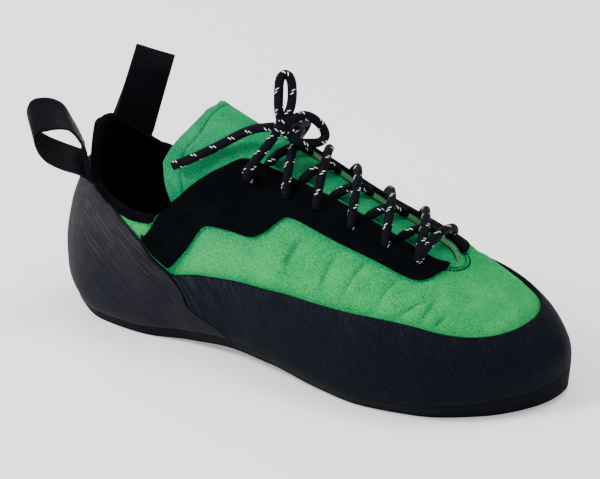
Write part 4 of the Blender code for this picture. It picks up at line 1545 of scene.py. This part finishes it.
@dataclass
class PullLoops:
    """The two webbing pull loops, sewn to the outside of the collar."""

    thickness: float = 0.0012
    pattern_width: float = 1.8
    reach: float = 0.036
    along: float = 0.05
    drop: float = 3.0
    lateral: tuple = (
        Fold(-0.12, 0.15, 0.10, 0.16, -0.17, -0.14), Fold(-0.27, 0.15, 0.12, 0.04, -0.23, -0.06),
        Fold(-0.51, 0.15, 0.15, -0.24, -0.27, -0.01), Fold(-0.71, 0.10, 0.22, -0.45, -0.30, 0.07),
        Fold(-0.88, 0.08, 0.32, -0.56, -0.28, 0.15), Fold(-0.98, 0.11, 0.51, -0.64, -0.23, 0.31),
        Fold(-0.94, 0.16, 0.63, -0.63, -0.16, 0.37), Fold(-0.82, 0.25, 0.66, -0.57, -0.10, 0.38),
        Fold(-0.66, 0.37, 0.59, -0.45, -0.05, 0.41), Fold(-0.49, 0.39, 0.37, -0.25, -0.04, 0.43),
        Fold(-0.32, 0.33, 0.19, -0.06, -0.09, 0.34), Fold(-0.20, 0.19, 0.19, 0.11, -0.20, 0.15),
        Fold(-0.18, 0.11, 0.12, 0.16, -0.26, -0.03),
    )
    medial: tuple = (
        Fold(-0.21, -0.32, 0.28, 0.08, 0.10, -0.07), Fold(-0.17, -0.10, 0.72, 0.18, 0.26, 0.48),
        Fold(-0.21, 0.21, 1.05, 0.23, 0.44, 0.91), Fold(-0.23, 0.27, 1.08, 0.22, 0.49, 0.93),
        Fold(-0.25, 0.30, 1.03, 0.19, 0.52, 0.88), Fold(-0.26, 0.05, 0.67, 0.10, 0.40, 0.43),
        Fold(-0.27, -0.27, 0.28, 0.05, 0.18, -0.06),
    )

    def build(self, finish: bpy.types.Material) -> None:
        """Build both loops."""
        for side, folds in ((Side.LATERAL, self.lateral), (Side.MEDIAL, self.medial)):
            outside = LAYERS.over_upper + LAYERS.overlay + LAYERS.gap + self.thickness / 2
            rise = RIM[side](np.array(self.along)) - self.drop
            root = FORM.layer(np.array(self.along), rise, side, np.array(outside))
            rows = root + np.array(folds).reshape(-1, 2, 3) * self.reach
            steps, rows_across = 110, 12
            rear, front = (even_points(rows[:, edge], steps + 1) for edge in (0, 1))
            piece, shares = grid(steps, rows_across)
            column = np.round(shares[:, 0] * steps).astype(int)
            v = shares[:, 1:2]
            shape(piece, rear[column] * (1 - v) + front[column] * v)
            run = lengths_along((rear + front) / 2)
            lay_uv(piece, run[column] * 100, v[:, 0] * self.pattern_width)
            piece.data.materials.append(finish)
            apply(piece, "SOLIDIFY", thickness=self.thickness, offset=0.0)
            apply(
                piece, "BEVEL", width=0.0003, segments=2, limit_method="ANGLE",
                angle_limit=math.radians(55),
            )
            smooth(piece)
            hand_in(piece, f"webbing_loop_{side.value}", "webbing", f"pull_loop_{side.value}")


@dataclass
class Studio:
    """The pale floor, the soft lights and the camera at the photograph's angle."""

    azimuth: float = 29.0
    elevation: float = 24.5
    distance: float = 1.300
    target: tuple[float, float, float] = (0.085, 0.0, 0.040)
    focal: float = 173.2
    shift: tuple[float, float] = (-0.0317, 0.0403)

    def place_camera(self) -> None:
        """Place the camera."""
        a, e = math.radians(self.azimuth), math.radians(self.elevation)
        back = Vector((math.cos(e) * math.sin(a), -math.cos(e) * math.cos(a), math.sin(e)))
        data = bpy.data.cameras.new("camera")
        data.lens = self.focal
        data.sensor_width = 36.0
        data.shift_x, data.shift_y = self.shift
        data.clip_end = 20.0
        camera = bpy.data.objects.new("camera", data)
        camera.location = Vector(self.target) + back * self.distance
        camera.rotation_euler = back.to_track_quat("Z", "Y").to_euler()
        bpy.context.scene.collection.objects.link(camera)
        bpy.context.scene.camera = camera

    def lay_floor(self) -> None:
        """Lay the pale floor."""
        deselect()
        bpy.ops.mesh.primitive_plane_add(size=8.0, location=(0.0, 0.0, -0.0002))
        floor = bpy.context.object
        floor.name = "studio_floor"
        n = Nodes("pale_floor")
        haze = n.noise(n.place(), 3, 2)
        n.dress({
            "Base Color": n.blend(haze, (0.86, 0.86, 0.86), (0.90, 0.90, 0.90)),
            "Roughness": 0.9, "Specular IOR Level": 0.1, "Emission Color": (1.0, 1.0, 1.0, 1.0),
            "Emission Strength": 0.35,
        })
        floor.data.materials.append(n.material)

    def light(self, name: str, place: tuple[float, float, float], size: float, power: float,
              aim: tuple[float, float, float] = (0.08, 0.0, 0.05)) -> None:
        """Hang one soft square light."""
        data = bpy.data.lights.new(name, "AREA")
        data.size = size
        data.energy = power
        lamp = bpy.data.objects.new(name, data)
        lamp.location = place
        lamp.rotation_euler = (Vector(place) - Vector(aim)).to_track_quat("Z", "Y").to_euler()
        bpy.context.scene.collection.objects.link(lamp)

    def light_up(self) -> None:
        """Light the shoe softly from above, from both sides and from the front."""
        world = bpy.data.worlds.new("studio")
        bpy.context.scene.world = world
        world.use_nodes = True
        sky = world.node_tree.nodes["Background"].inputs
        sky["Color"].default_value = (1.0, 1.0, 1.0, 1.0)
        sky["Strength"].default_value = 0.55
        self.light("key_light", (-0.75, -0.85, 1.05), 0.5, 30.0)
        self.light("top_light", (0.35, 0.35, 1.5), 0.7, 15.0)
        self.light("side_light", (1.2, -0.5, 0.6), 0.6, 4.0)
        self.light("back_light", (-0.9, 0.8, 0.9), 0.7, 8.0)


def main() -> None:
    """Build the shoe's pieces in order."""
    logging.basicConfig(level=logging.INFO)
    studio = Studio()
    studio.place_camera()
    finishes = Finishes().all()
    lacing = Lacing()
    knot_piece = lacing.build_knot(finishes["lace"])
    lacing.build_free(finishes["lace"])
    lacing.build_crossings(finishes["lace"])
    log.info("cord lengths in metres: %s", lacing.lengths)
    Upper().build(finishes)
    overlays = Overlays()
    overlays.build_stays(finishes)
    overlays.build_binding(finishes)
    overlays.build_tongue(finishes)
    overlays.build_insole(finishes)
    rubbers = Rubbers()
    rubbers.build_heel(finishes)
    rubbers.build_toe(finishes)
    rubbers.build_sole(finishes)
    PullLoops().build(finishes["webbing"])
    studio.lay_floor()
    studio.light_up()


if __name__ == "__main__":
    main()
